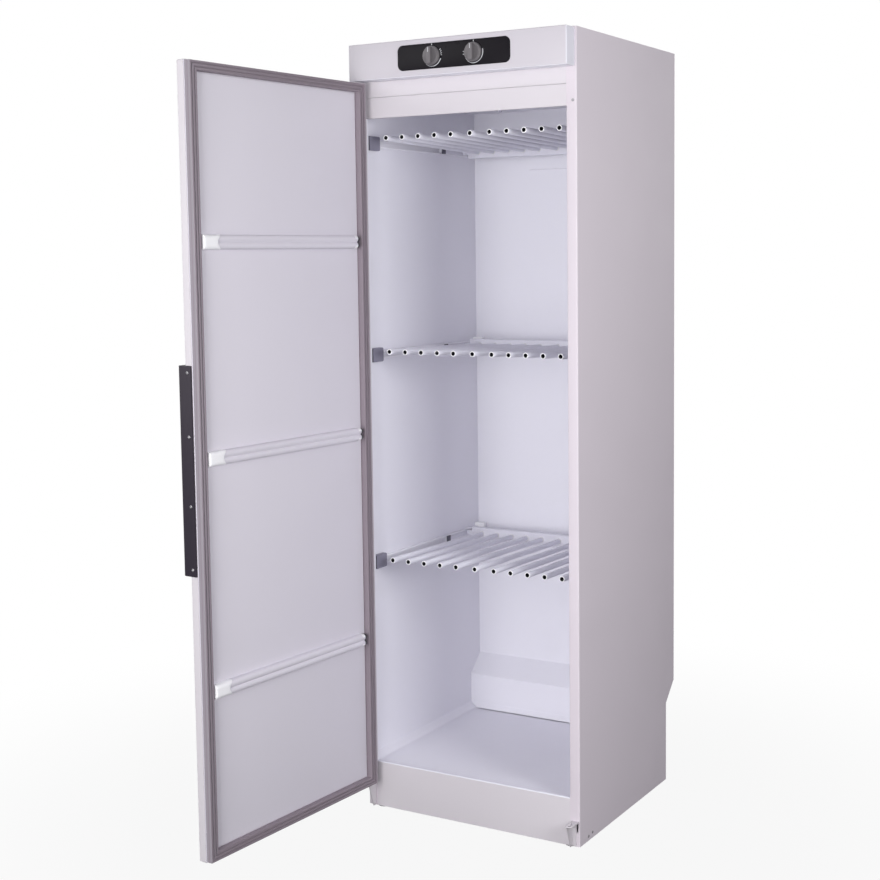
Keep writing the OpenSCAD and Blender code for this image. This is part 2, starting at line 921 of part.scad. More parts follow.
module door_outer_pan() {
    color(white) on_door() difference() {
        block([-door_half, door_face_y, door_z], [door_half, door_seam_y, door_top]);
        pan_space(door_seam_y + 1);
        bush_holes();
    }
}

module door_core() {
    color(grey) on_door() difference() {
        pan_space(door_seam_y);
        bush_holes();
    }
}

plate_inset = 0.5;
field_inset = gasket_inset + gasket_w + edge_gap;

module door_inner_plate() {
    edge_x = door_half - plate_inset;
    field_x = door_half - field_inset;
    color(pale) on_door() union() {
        block([-edge_x, door_seam_y, door_z + plate_inset], [edge_x, plate_y, door_top - plate_inset]);
        block([-field_x, door_seam_y, door_z + field_inset], [field_x, liner_y, door_top - field_inset]);
    }
}

gasket_ribs = 3;
rib_groove = 2;
groove_depth = 3;

// Seal round the door's edge, grooved so that soft ribs stand between the grooves
module door_gasket() {
    x = door_half - gasket_inset;
    z0 = door_z + gasket_inset;
    z1 = door_top - gasket_inset;
    front = -gasket_gap;
    rib_w = (gasket_w - (gasket_ribs - 1) * rib_groove) / gasket_ribs;
    color("#857f88") on_door() difference() {
        frame(x, z0, z1, gasket_w, plate_y, front);
        for (i = [0 : gasket_ribs - 2]) {
            in = rib_w + i * (rib_w + rib_groove);
            frame(x - in, z0 + in, z1 - in, rib_groove, front - groove_depth, front + 1);
        }
    }
}

// Angled profile along the door's edge, with a lip that the fingers reach behind
module door_handle() {
    front = door_face_y - handle_out;
    outer_x = door_half + handle_t;
    top = handle_z + handle_l;
    color(dark) on_door() union() {
        block([door_half, front, handle_z], [outer_x, door_seam_y, top]);
        block([door_half - handle_grip, front, handle_z], [outer_x, front + handle_t, top]);
        translate([door_half - handle_grip, front + handle_t / 2, handle_z])
            cylinder(r = handle_t / 2, h = handle_l);
    }
}

module handle_screws() {
    x = door_half + handle_t;
    color(steel) on_door()
        for (d = [screw_edge, screw_edge + screw_step], z = [handle_z + d, handle_z + handle_l - d])
            bar_along_x(x, x + screw_head_h, door_seam_y - door_t / 2, z, screw_head_r);
}

lobe_overlap = 0.4;
lobe_r = door_rail_h / 4 + lobe_overlap;
cap_wall = 0.8;
scoop_r = (door_rail_h * door_rail_h / 4 + scoop_d * scoop_d) / (2 * scoop_d);
gasket_inner = door_half - gasket_inset - gasket_w;
door_rail_x0 = gasket_inner - door_rail_gap;
door_rail_x1 = gasket_inner - cap_gap;
cap_x = door_rail_x1 - cap_w;

// Two round lobes with a groove between them, on a flat back
module rail_outline(grow) {
    lobe_y = liner_y + door_rail_d - lobe_r;
    lobe_z = door_rail_h / 2 - lobe_r;
    half_h = door_rail_h / 2 + grow;
    difference() {
        union() {
            translate([liner_y, -half_h]) square([door_rail_d - lobe_r, 2 * half_h]);
            for (z = [-lobe_z, lobe_z]) translate([lobe_y, z]) circle(lobe_r + grow);
        }
        translate([liner_y - door_rail_d, -half_h - 1]) square([door_rail_d, 2 * half_h + 2]);
    }
}

// Round nose of a rail, which fills the scoop in its cap
module scoop(r) {
    bar_along_y(cap_x + scoop_d - scoop_r, liner_y - 1, liner_y + door_rail_d + 2, 0, r);
}

module door_rail() {
    union() {
        sideways(-door_rail_x0, cap_x) rail_outline(0);
        intersection() {
            sideways(cap_x - 1, cap_x + scoop_d) rail_outline(0);
            scoop(scoop_r - fit_gap);
        }
    }
}

module door_rails() {
    color(pale) on_door() for (drop = door_rail_drop) translate([0, 0, door_top - drop]) door_rail();
}

// Cap over a rail's end, scooped where it meets the rail
module rail_cap() {
    difference() {
        sideways(cap_x, door_rail_x1) rail_outline(cap_wall);
        scoop(scoop_r);
    }
}

module door_rail_caps() {
    color(white) on_door() for (drop = door_rail_drop) translate([0, 0, door_top - drop]) rail_cap();
}

// ---- Racks ----

// Channel on the right wall, with a slot along its face
module wall_rail() {
    inner_z = rail_h / 2 - rail_sheet;
    face = rail_x + rail_sheet;
    difference() {
        block([rail_x, rail_y, -rail_h / 2], [wall_x, rail_end_y, rail_h / 2]);
        block([face, rail_y - 1, -inner_z], [wall_x - rail_sheet, rail_end_y + 1, inner_z]);
        block([rail_x - 1, rail_y - 1, -rail_slot / 2], [face + 1, rail_end_y + 1, rail_slot / 2]);
    }
}

module wall_rails() {
    color(white) for (z = rack_heights) both_sides() translate([0, 0, z]) wall_rail();
}

// Plastic block that closes each rail's front end
module rail_end_blocks() {
    color(grey) for (z = rack_heights) both_sides()
        translate([wall_x, rail_y - block_l / 2, z]) rotate([0, -90, 0]) linear_extrude(block_t)
            round_rect(block_h, block_l, block_corner);
}

// Buffer inside each rail behind the glide, and the bracket that holds the rail's rear end
module rail_stop() {
    buffer_z = rail_h / 2 - rail_sheet - fit_gap;
    buffer_y = bar_y + bar_t + slide_gap;
    buffer_x = [rail_x + rail_sheet + fit_gap, wall_x - rail_sheet - fit_gap];
    stem_x = [buffer_x[0] + stem_t, buffer_x[1] - stem_t];
    union() {
        block([buffer_x[0], buffer_y, -buffer_z], [buffer_x[1], buffer_y + stop_l, buffer_z]);
        block([stem_x[0], buffer_y + stop_l - 1, -stem_t], [stem_x[1], rail_end_y + 1, stem_t]);
        block([wall_x - bracket_l, rail_end_y, -stem_t], [wall_x, rail_end_y + bracket_d, bracket_rise]);
    }
}

module rail_stops() {
    color(white) for (z = rack_heights) both_sides() translate([0, 0, z]) rail_stop();
}

// Hanging tube, cut off square where it is welded to the crossbar
module hanging_tube(x) {
    length = (bar_y - tube_y) / cos(tube_slope);
    difference() {
        translate([x, bar_y, 0]) rotate([90 - tube_slope, 0, 0]) translate([0, 0, -2]) difference() {
            cylinder(r = tube_d / 2, h = length + 2);
            translate([0, 0, -1]) cylinder(r = tube_d / 2 - tube_wall, h = length + 4);
        }
        block([x - tube_d, bar_y, -tube_d], [x + tube_d, bar_y + 10, tube_d]);
    }
}

module rack_tubes(z) {
    color(white) for (i = [-side_tubes : side_tubes]) translate([0, 0, z]) hanging_tube(tube_x(i));
}

// Folded bar across the back of a rack, with a tongue at each end that reaches its glide
module rack_crossbar(z) {
    rear = bar_y + bar_t;
    face_y = bar_y + bar_sheet;
    inner_z = bar_h / 2 - bar_sheet;
    tongue_z = rail_slot / 2 - slide_gap;
    color(white) translate([0, 0, z]) union() {
        difference() {
            block([-bar_half, bar_y, -bar_h / 2], [bar_half, rear, bar_h / 2]);
            block([-bar_half - 1, face_y, -inner_z], [bar_half + 1, rear + 1, inner_z]);
        }
        both_sides() block([bar_half - tongue_l, face_y, -tongue_z],
            [glide_x, rear - tongue_inset, tongue_z]);
    }
}

// Bar that runs in the wall rail, with a pad behind the slot at each end
module glide() {
    rear = bar_y + bar_t;
    pad_x = rail_x + rail_sheet + slide_gap;
    outer_x = wall_x - rail_sheet - slide_gap;
    pad_z = rail_h / 2 - rail_sheet - slide_gap;
    neck_z = rail_slot / 2 - slide_gap;
    union() {
        block([glide_x, glide_front_y, -neck_z], [outer_x, rear, neck_z]);
        for (y = [glide_front_y, rear - pad_l])
            block([pad_x, y, -pad_z], [outer_x, y + pad_l, pad_z]);
    }
}

module rack_glides(z) {
    color(steel) both_sides() translate([0, 0, z]) glide();
}

// Dark shoe on the front end of each glide, outside the rail
module rack_shoes(z) {
    half_h = rail_h / 2 - shoe_inset;
    color(dark) both_sides() translate([0, 0, z])
        block([glide_x - shoe_t, glide_front_y - shoe_lead, -half_h],
            [glide_x, glide_front_y + shoe_l, half_h]);
}

module top_rack_tubes() { rack_tubes(rack_heights[2]); }
module top_rack_crossbar() { rack_crossbar(rack_heights[2]); }
module top_rack_glides() { rack_glides(rack_heights[2]); }
module top_rack_shoes() { rack_shoes(rack_heights[2]); }
module middle_rack_tubes() { rack_tubes(rack_heights[1]); }
module middle_rack_crossbar() { rack_crossbar(rack_heights[1]); }
module middle_rack_glides() { rack_glides(rack_heights[1]); }
module middle_rack_shoes() { rack_shoes(rack_heights[1]); }
module bottom_rack_tubes() { rack_tubes(rack_heights[0]); }
module bottom_rack_crossbar() { rack_crossbar(rack_heights[0]); }
module bottom_rack_glides() { rack_glides(rack_heights[0]); }
module bottom_rack_shoes() { rack_shoes(rack_heights[0]); }

left_side_panel();
right_side_panel();
back_panel();
roof_panel();
ceiling_panel();
header_panel();
header_trim();
floor_pan();
plinth_panel();
base_frame();
levelling_feet();
control_fascia();
control_insert();
timer_knob();
selector_knob();
timer_spindle();
selector_spindle();
timer_unit();
selector_switch();
fan_box_cover();
fan_motor();
fan_wheel();
fan_shaft();
heater_ring();
thermostat();
terminal_block();
door_switch();
duct_cover();
exhaust_duct();
cable_gland();
upper_hinge_bracket();
lower_hinge_bracket();
spare_hinge_bracket();
hinge_pins();
hinge_bushes();
panel_screws();
door_outer_pan();
door_core();
door_inner_plate();
door_gasket();
door_handle();
handle_screws();
door_rails();
door_rail_caps();
wall_rails();
rail_end_blocks();
rail_stops();
top_rack_tubes();
top_rack_crossbar();
top_rack_glides();
top_rack_shoes();
middle_rack_tubes();
middle_rack_crossbar();
middle_rack_glides();
middle_rack_shoes();
bottom_rack_tubes();
bottom_rack_crossbar();
bottom_rack_glides();
bottom_rack_shoes();
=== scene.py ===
"""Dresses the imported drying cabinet: folded sheet steel, a side-hung door, sliding racks and controls.

Everything is in metres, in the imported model's own frame: X right, Y back, Z up from the floor.
"""

import json
import math

import bmesh
import bpy
from bpy.props import FloatProperty, FloatVectorProperty, IntProperty, PointerProperty
from mathutils import Matrix, Vector

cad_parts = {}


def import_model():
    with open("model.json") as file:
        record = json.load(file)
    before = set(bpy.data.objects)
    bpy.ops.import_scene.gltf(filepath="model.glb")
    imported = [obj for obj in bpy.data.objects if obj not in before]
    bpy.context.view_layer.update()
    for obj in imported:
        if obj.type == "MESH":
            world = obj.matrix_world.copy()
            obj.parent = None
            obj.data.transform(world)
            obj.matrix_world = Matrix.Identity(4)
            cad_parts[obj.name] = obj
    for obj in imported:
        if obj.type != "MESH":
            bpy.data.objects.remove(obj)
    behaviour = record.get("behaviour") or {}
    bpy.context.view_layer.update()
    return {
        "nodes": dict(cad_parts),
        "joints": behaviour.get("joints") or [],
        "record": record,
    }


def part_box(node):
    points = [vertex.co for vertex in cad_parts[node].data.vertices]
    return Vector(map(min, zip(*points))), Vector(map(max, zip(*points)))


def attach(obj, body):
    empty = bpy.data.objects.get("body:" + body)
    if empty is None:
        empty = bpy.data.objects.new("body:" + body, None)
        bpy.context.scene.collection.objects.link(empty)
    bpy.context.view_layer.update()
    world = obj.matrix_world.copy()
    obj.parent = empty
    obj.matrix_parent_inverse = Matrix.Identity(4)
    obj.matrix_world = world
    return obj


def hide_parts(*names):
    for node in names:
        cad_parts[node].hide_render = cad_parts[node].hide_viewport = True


bl_info = {
    "name": "Drying Cabinet",
    "version": (1, 0, 0),
    "blender": (4, 5, 0),
    "location": "View3D > Sidebar > Cabinet",
    "description": "Models and finishes the pieces of a drying cabinet round its packed frame",
    "category": "Object",
}

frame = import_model()
JOINTS = {joint["name"]: joint for joint in frame["joints"]}
SHEET = 0.001
RACKS = ("top", "middle", "bottom")

# Gaps within which two places are the same: in a merged mesh, across a line and in the CAD nodes
MERGE_GAP, LINE_GAP, READ_GAP = 1e-6, 1e-7, 1e-4
ALIGNED = 0.99
SHARP_TURN, FLAT_TURN = math.radians(40), math.radians(0.5)
SMALL_SIDES = 32
# A screw head: the share of its height that its rim takes, then insets and rises as shares of its size
SCREW_RIM = 0.4
SCREW_STEPS = ((0.1, 0.35), (0.3, 0.25), (0.18, 0.0), (0.126, -0.3), (0.126, -0.4))

# ---- Places read from the frame ----


def low(node):
    """Lowest corner of a CAD node."""
    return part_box(node)[0]


def high(node):
    """Highest corner of a CAD node."""
    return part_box(node)[1]


HINGE = Vector(JOINTS["door_hinge"]["pos_m"])
DOOR_ANGLE = math.radians(JOINTS["door_hinge"]["range_deg"][0])
OPEN_DOOR = Matrix.Translation(HINGE) @ Matrix.Rotation(DOOR_ANGLE, 4, "Z") @ Matrix.Translation(-HINGE)
CLOSE_DOOR = OPEN_DOOR.inverted()


def corners(points):
    """Lowest and highest corners of some points."""
    return (
        Vector([min(point[axis] for point in points) for axis in range(3)]),
        Vector([max(point[axis] for point in points) for axis in range(3)]),
    )


def closed_box(node):
    """Corners of one of the door's CAD nodes with the door shut."""
    return corners([CLOSE_DOOR @ vertex.co for vertex in frame["nodes"][node].data.vertices])


def solid_boxes(node, turn=Matrix()):
    """Corners of each separate solid of a CAD node, from the lowest left one on."""
    shape = bmesh.new()
    shape.from_mesh(frame["nodes"][node].data)
    shape.transform(turn)
    bmesh.ops.remove_doubles(shape, verts=shape.verts, dist=MERGE_GAP)
    left, boxes = set(shape.verts), []
    while left:
        solid, edge = [], [left.pop()]
        while edge:
            vertex = edge.pop()
            solid.append(vertex.co.copy())
            found = {link.other_vert(vertex) for link in vertex.link_edges} & left
            left -= found
            edge += found
        boxes.append(corners(solid))
    shape.free()
    return sorted(boxes, key=lambda box: (round(box[0].z, 4), box[0].x))


# ---- Modelling by operators ----


def deselect():
    """Back to object mode, with nothing selected."""
    active = bpy.context.view_layer.objects.active
    if active and active.mode != "OBJECT":
        bpy.ops.object.mode_set(mode="OBJECT")
    bpy.ops.object.select_all(action="DESELECT")


def choose(*pieces):
    """Selects some pieces alone and makes the first one active."""
    deselect()
    for piece in pieces:
        piece.select_set(True)
    bpy.context.view_layer.objects.active = pieces[0]


def settled(name):
    """The primitive just added, named, with its place in its mesh."""
    piece = bpy.context.active_object
    piece.name = name
    piece.data.name = name
    bpy.ops.object.transform_apply(location=True, rotation=True, scale=True)
    return piece


def cube(name, low_corner, high_corner):
    """A cube between two corners, to be shaped further."""
    low_corner, high_corner = Vector(low_corner), Vector(high_corner)
    deselect()
    bpy.ops.mesh.primitive_cube_add(
        size=1, location=(low_corner + high_corner) / 2, scale=high_corner - low_corner
    )
    return settled(name)


def rod(name, start, end, radius, sides, ends="NGON"):
    """A cylinder from start to end, to be shaped further."""
    start, end = Vector(start), Vector(end)
    turn = (end - start).to_track_quat("Z", "Y").to_euler()
    deselect()
    bpy.ops.mesh.primitive_cylinder_add(
        vertices=sides, radius=radius, depth=(end - start).length, end_fill_type=ends,
        location=(start + end) / 2, rotation=turn,
    )
    return settled(name)


def outline(name, points):
    """A flat face whose corners are the given points."""
    deselect()
    bpy.ops.mesh.primitive_circle_add(vertices=len(points), fill_type="NGON")
    piece = settled(name)
    for vertex, point in zip(piece.data.vertices, points):
        vertex.co = point
    return piece


def pick(piece, kind, test):
    """Selects the piece's faces, edges or verts that pass a test, in edit mode, and returns how many."""
    if bpy.context.view_layer.objects.active is not piece or piece.mode != "EDIT":
        choose(piece)
        bpy.ops.object.mode_set(mode="EDIT")
    bpy.ops.mesh.select_mode(type={"faces": "FACE", "edges": "EDGE", "verts": "VERT"}[kind])
    bpy.ops.mesh.select_all(action="DESELECT")
    mesh = bmesh.from_edit_mesh(piece.data)
    mesh.normal_update()
    chosen = [part for part in getattr(mesh, kind) if test(part)]
    for part in chosen:
        part.select_set(True)
    bmesh.update_edit_mesh(piece.data)
    return len(chosen)


def extrude(*move):
    """Extrudes what is selected."""
    bpy.ops.mesh.extrude_region_move(TRANSFORM_OT_translate={"value": tuple(move)})


def round_off(piece, test, radius, segments=3):
    """Rounds the edges that pass a test."""
    if pick(piece, "edges", test):
        bpy.ops.mesh.bevel(offset=radius, segments=segments, affect="EDGES")


def cut(piece, point, normal, test):
    """Cuts the faces that pass a test along a plane."""
    if pick(piece, "faces", test):
        bpy.ops.mesh.bisect(plane_co=point, plane_no=normal)


def open_up(piece, test):
    """Deletes the faces that pass a test."""
    pick(piece, "faces", test)
    bpy.ops.mesh.delete(type="FACE")


def outward(piece):
    """Turns all faces outwards on a closed shape."""
    pick(piece, "faces", everything)
    bpy.ops.mesh.normals_make_consistent(inside=False)


def raised(piece, *move):
    """Makes a flat face a solid, drawn out by a move."""
    pick(piece, "faces", everything)
    extrude(*move)
    outward(piece)
    return piece


def solidify(piece, wall, **values):
    """Gives a surface its wall, grown against its normals."""
    choose(piece)
    modifier = piece.modifiers.new("Wall", "SOLIDIFY")
    modifier.thickness = wall
    modifier.offset = -1
    modifier.use_even_offset = True
    for name, value in values.items():
        setattr(modifier, name, value)
    bpy.ops.object.modifier_apply(modifier=modifier.name)


def thicken(piece, toward, wall=SHEET):
    """Gives a sheet its thickness, grown towards a direction from its largest face that looks along it."""
    toward = Vector(toward)
    outward(piece)
    mesh = bmesh.from_edit_mesh(piece.data)
    face = max(mesh.faces, key=lambda face: face.calc_area() * abs(face.normal.dot(toward)))
    if face.normal.dot(toward) > 0:
        bpy.ops.mesh.flip_normals()
    solidify(piece, wall, use_quality_normals=True)


def folded_sheet(name, points, run, fold, toward, segments=4, wall=SHEET):
    """Sheet folded along straight lines: its outer section is the points, and it runs along a vector."""
    points, run = [Vector(point) for point in points], Vector(run)
    deselect()
    bpy.ops.mesh.primitive_plane_add(size=1)
    piece = settled(name)
    start, end = points[:2]
    for vertex, place in zip(piece.data.vertices, (start, end, start + run, end + run)):
        vertex.co = place

    def on_line(start):
        return lambda edge: all(
            (vertex.co - start).cross(run).length < LINE_GAP for vertex in edge.verts
        )

    for start, end in zip(points[1:], points[2:]):
        pick(piece, "edges", on_line(start))
        extrude(*(end - start))
    for point in points[1:-1]:
        round_off(piece, on_line(point), fold, segments)
    thicken(piece, toward, wall)
    return piece


def joined(name, pieces):
    """Several pieces as one object."""
    choose(*pieces)
    bpy.ops.object.join()
    pieces[0].name = name
    return pieces[0]


def copied(piece, name, move):
    """A copy with its own mesh, moved by a vector or a matrix."""
    deselect()
    twin = piece.copy()
    twin.data = piece.data.copy()
    twin.name = name
    bpy.context.scene.collection.objects.link(twin)
    twin.data.transform(move if isinstance(move, Matrix) else Matrix.Translation(Vector(move)))
    return twin


def mirrored(piece, name):
    """The same piece on the other side of the cabinet, with its faces turned outwards again."""
    twin = copied(piece, name, Matrix.Diagonal((-1, 1, 1, 1)))
    outward(twin)
    deselect()
    return twin


def softened(node, name, radius, segments=2):
    """A CAD node's shape modelled again with its edges rounded."""
    deselect()
    piece = bpy.data.objects.new(name, frame["nodes"][node].data.copy())
    bpy.context.scene.collection.objects.link(piece)
    pick(piece, "verts", everything)
    bpy.ops.mesh.remove_doubles(threshold=MERGE_GAP)
    bpy.ops.mesh.dissolve_limited(angle_limit=FLAT_TURN)
    round_off(piece, sharp, radius, segments)
    return piece


def screw_head(seat, crown, radius):
    """A domed screw head with a round recess, from its seat to its crown."""
    seat, crown = Vector(seat), Vector(crown)
    height = (crown - seat).length
    head = rod("screw_head", seat, seat + (crown - seat) * SCREW_RIM, radius, SMALL_SIDES)
    pick(head, "faces", facing(*(crown - seat)))
    for inset, rise in SCREW_STEPS:
        bpy.ops.mesh.inset(thickness=radius * inset, depth=height * rise)
    return head


def on_door(piece):
    """Turns a piece modelled on the shut door to where the door stands open."""
    deselect()
    piece.data.transform(OPEN_DOOR)
    return piece


def arc(centre, radius, start, end, steps):
    """Points of an arc in the plane of X and Z, in degrees from +X towards +Z."""
    turns = [math.radians(start + (end - start) * i / steps) for i in range(steps + 1)]
    return [(centre[0] + radius * math.cos(t), centre[1] + radius * math.sin(t)) for t in turns]


def round_rect(centre, width, height, radius, steps=8):
    """Points of a rectangle with round corners, in the plane of X and Z."""
    points = []
    for quarter, (sx, sz) in enumerate(((1, 1), (-1, 1), (-1, -1), (1, -1))):
        corner = (centre[0] + sx * (width / 2 - radius), centre[1] + sz * (height / 2 - radius))
        points += arc(corner, radius, 90 * quarter, 90 * quarter + 90, steps)
    return points


# ---- Tests for faces, edges and vertices ----


def middle(part):
    """Middle of a face or an edge."""
    points = [vertex.co for vertex in part.verts]
    return sum(points, Vector()) / len(points)


def near(value, target, gap=1e-5):
    """True if a value lies at a target."""
    return abs(value - target) < gap


def everything(part):
    """A test that all parts pass."""
    return True


def sharp(edge):
    """True for an edge between two faces that meet at a sharp angle."""
    return len(edge.link_faces) == 2 and edge.calc_face_angle(0) > SHARP_TURN


def facing(*direction, least=ALIGNED):
    """A test for faces that look in a direction, or at least lean that way."""
    direction = Vector(direction).normalized()
    return lambda face: face.normal.dot(direction) > least


def along(axis):
    """A test for edges that run along an axis."""
    def test(edge):
        run = edge.verts[1].co - edge.verts[0].co
        return abs(run[axis]) > ALIGNED * run.length
    return test


def at(**places):
    """A test for parts whose middle lies at places along the axes x, y or z."""
    return lambda part: all(near(getattr(middle(part), axis), place) for axis, place in places.items())


def lying(**places):
    """A test for edges whose ends both lie at places along the axes x, y or z."""
    return lambda edge: all(
        near(getattr(vertex.co, axis), place) for vertex in edge.verts for axis, place in places.items()
    )


def before(**places):
    """A test for parts whose middle comes before places along the axes x, y or z."""
    return lambda part: all(getattr(middle(part), axis) < place for axis, place in places.items())


def both(first, second):
    """A test that combines two."""
    return lambda part: first(part) and second(part)


# ---- Painting and handing over ----


def painted(piece, finish, *zones):
    """Paints a piece, and then each zone of it: a finish and a test for its faces."""
    for zone_finish, test in ((finish, everything), *zones):
        piece.data.materials.append(material_of(zone_finish))
        pick(piece, "faces", test)
        piece.active_material_index = len(piece.data.materials) - 1
        bpy.ops.object.material_slot_assign()
        deselect()
    return piece


def paint_whole(piece, finish):
    """Gives a piece one finish all over."""
    piece.data.materials.clear()
    piece.data.materials.append(material_of(finish))


def finished(piece, body, finish, nodes=(), angle=35):
    """Shades a piece, paints it unless it is painted in zones, and hands it to its body."""
    choose(piece)
    bpy.ops.object.shade_smooth_by_angle(angle=math.radians(angle))
    if len(piece.data.materials) < 2:
        paint_whole(piece, finish)
    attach(piece, body)
    if nodes:
        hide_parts(*nodes)


# ---- Finishes ----


class Nodes:
    """A node tree that is filled by short calls."""

    def __init__(self, tree):
        self.tree = tree

    def feed(self, sockets, feeds):
        """Links each named or numbered socket to another socket, or sets its value."""
        for key, value in feeds.items():
            if isinstance(value, bpy.types.NodeSocket):
                self.tree.links.new(value, sockets[key])
            else:
                sockets[key].default_value = value

    def add(self, kind, feeds=None, **settings):
        """Adds a node with its settings and feeds, and returns its outputs."""
        node = self.tree.nodes.new("ShaderNode" + kind)
        for name, value in settings.items():
            setattr(node, name, value)
        self.feed(node.inputs, feeds or {})
        return node.outputs

    def mixed(self, share, first, second):
        """Two colours mixed by a share."""
        return self.add("Mix", {0: share, 6: first, 7: second}, data_type="RGBA")[2]

    def place(self):
        """The place on the piece, in its own coordinates."""
        return self.add("TexCoord")["Object"]

    def bump(self, height, strength, distance):
        """A normal that follows a height."""
        return self.add("Bump", {"Height": height, "Strength": strength, "Distance": distance})["Normal"]


FLOAT, COLOUR = "NodeSocketFloat", "NodeSocketColor"
WHITE = (1.0, 1.0, 1.0, 1.0)


def group(name, inputs, outputs, build):
    """A shader node group, made once: named inputs and outputs and a function that fills it."""
    tree = bpy.data.node_groups.get(name)
    if tree is None:
        tree = bpy.data.node_groups.new(name, "ShaderNodeTree")
        for way, sockets in (("INPUT", inputs), ("OUTPUT", outputs)):
            for label, kind in sockets.items():
                tree.interface.new_socket(name=label, in_out=way, socket_type=kind)
        source = tree.nodes.new("NodeGroupInput")
        sink = tree.nodes.new("NodeGroupOutput")
        nodes = Nodes(tree)
        nodes.feed(sink.inputs, build(nodes, source.outputs))
    return tree


def tone_group():
    """Broad, faint changes of tone, as paint and moulded sheet have."""
    def build(nodes, given):
        cloud = nodes.add("TexNoise", {"Vector": nodes.place(), "Scale": given["Patches"], "Detail": 2.0})
        amount = nodes.add("Math", {0: cloud["Fac"], 1: given["Strength"]}, operation="MULTIPLY")
        return {"Colour": nodes.mixed(amount[0], given["Colour"], given["Shade"])}
    inputs = {"Colour": COLOUR, "Shade": COLOUR, "Patches": FLOAT, "Strength": FLOAT}
    return group("broad_tone", inputs, {"Colour": COLOUR}, build)


def grain_group():
    """Fine bumps of powder coat or spark-eroded moulding, and the gloss that goes with them."""
    def build(nodes, given):
        place = nodes.place()
        grain = nodes.add("TexNoise", {"Vector": place, "Scale": given["Grain"], "Detail": 3.0})
        smear = nodes.add("TexNoise", {"Vector": place, "Scale": 9.0, "Detail": 4.0})
        gloss = nodes.add("MapRange", {
            "Value": smear["Fac"], "From Min": 0.3, "From Max": 0.7,
            "To Min": given["Smooth"], "To Max": given["Rough"],
        })
        return {"Height": grain["Fac"], "Roughness": gloss["Result"]}
    inputs = {"Grain": FLOAT, "Smooth": FLOAT, "Rough": FLOAT}
    return group("fine_grain", inputs, {"Height": FLOAT, "Roughness": FLOAT}, build)


def brushed_group():
    """Long fine lines of drawn or brushed metal, and zinc flowers under them."""
    def build(nodes, given):
        place = nodes.place()
        lines = nodes.add("Mapping", {"Vector": place, "Scale": given["Stretch"]})
        brush = nodes.add("TexNoise", {"Vector": lines["Vector"], "Scale": 1.0, "Detail": 3.0})
        flower = nodes.add("TexVoronoi", {"Vector": place, "Scale": given["Flowers"]})
        mask = nodes.add("SeparateColor", {0: flower["Color"]})
        return {"Height": brush["Fac"], "Flower": mask[0]}
    inputs = {"Stretch": "NodeSocketVector", "Flowers": FLOAT}
    return group("metal_lines", inputs, {"Height": FLOAT, "Flower": FLOAT}, build)


def rgba(colour, darker=0.0):
    """A colour with its alpha, made darker by a share."""
    return (*(part * (1 - darker) for part in colour), 1.0)


def new_finish(name, build):
    """A material with one Principled shader, made once under a name that no CAD slot has."""
    label = "cabinet_" + name
    material = bpy.data.materials.get(label)
    if material is None:
        material = bpy.data.materials.new(label)
        material.use_nodes = True
        build(Nodes(material.node_tree), material.node_tree.nodes["Principled BSDF"])
    return material


def toned(nodes, colour, shade, patches):
    """A colour with faint patches of a darker shade."""
    return nodes.add("Group", {
        "Colour": rgba(colour), "Shade": rgba(colour, shade), "Patches": patches, "Strength": 0.5,
    }, node_tree=tone_group())["Colour"]


def grained(nodes, grain, smooth, rough):
    """The height and the roughness of a fine grain."""
    return nodes.add("Group", {"Grain": grain, "Smooth": smooth, "Rough": rough}, node_tree=grain_group())


def coated(name, colour, grain=900.0, smooth=0.38, rough=0.5, bump=0.05, shade=0.06, specular=0.4):
    """Paint or moulded plastic: one colour with faint patches and a fine grain."""
    def build(nodes, shader):
        skin = grained(nodes, grain, smooth, rough)
        nodes.feed(shader.inputs, {
            "Base Color": toned(nodes, colour, shade, COAT_PATCHES), "Roughness": skin["Roughness"],
            "Specular IOR Level": specular, "Normal": nodes.bump(skin["Height"], bump, COAT_RELIEF),
        })
    return new_finish(name, build)


def metal(name, colour, stretch, smooth=0.22, rough=0.4, contrast=0.12):
    """Bare or plated steel with drawn lines and zinc flowers."""
    def build(nodes, shader):
        lines = nodes.add("Group", {"Stretch": stretch, "Flowers": ZINC_FLOWERS}, node_tree=brushed_group())
        skin = grained(nodes, METAL_GRAIN, smooth, rough)
        nodes.feed(shader.inputs, {
            "Base Color": nodes.mixed(lines["Flower"], rgba(colour), rgba(colour, contrast)),
            "Metallic": 1.0, "Roughness": skin["Roughness"],
            "Normal": nodes.bump(lines["Height"], LINE_BUMP, LINE_RELIEF),
        })
    return new_finish(name, build)


def colours():
    """The add-on's colour settings."""
    return bpy.context.scene.cabinet_colours


def sizes():
    """The add-on's size settings."""
    return bpy.context.scene.cabinet_sizes


COAT_PATCHES, COAT_RELIEF = 2.5, 0.0003
METAL_GRAIN, ZINC_FLOWERS, LINE_BUMP, LINE_RELIEF = 400.0, 60.0, 0.12, 0.0002
RUBBER = {"grain": 2500.0, "smooth": 0.5, "rough": 0.7, "shade": 0.15, "specular": 0.3}
MOULDED = {"grain": 2200.0, "bump": 0.2, "shade": 0.2}

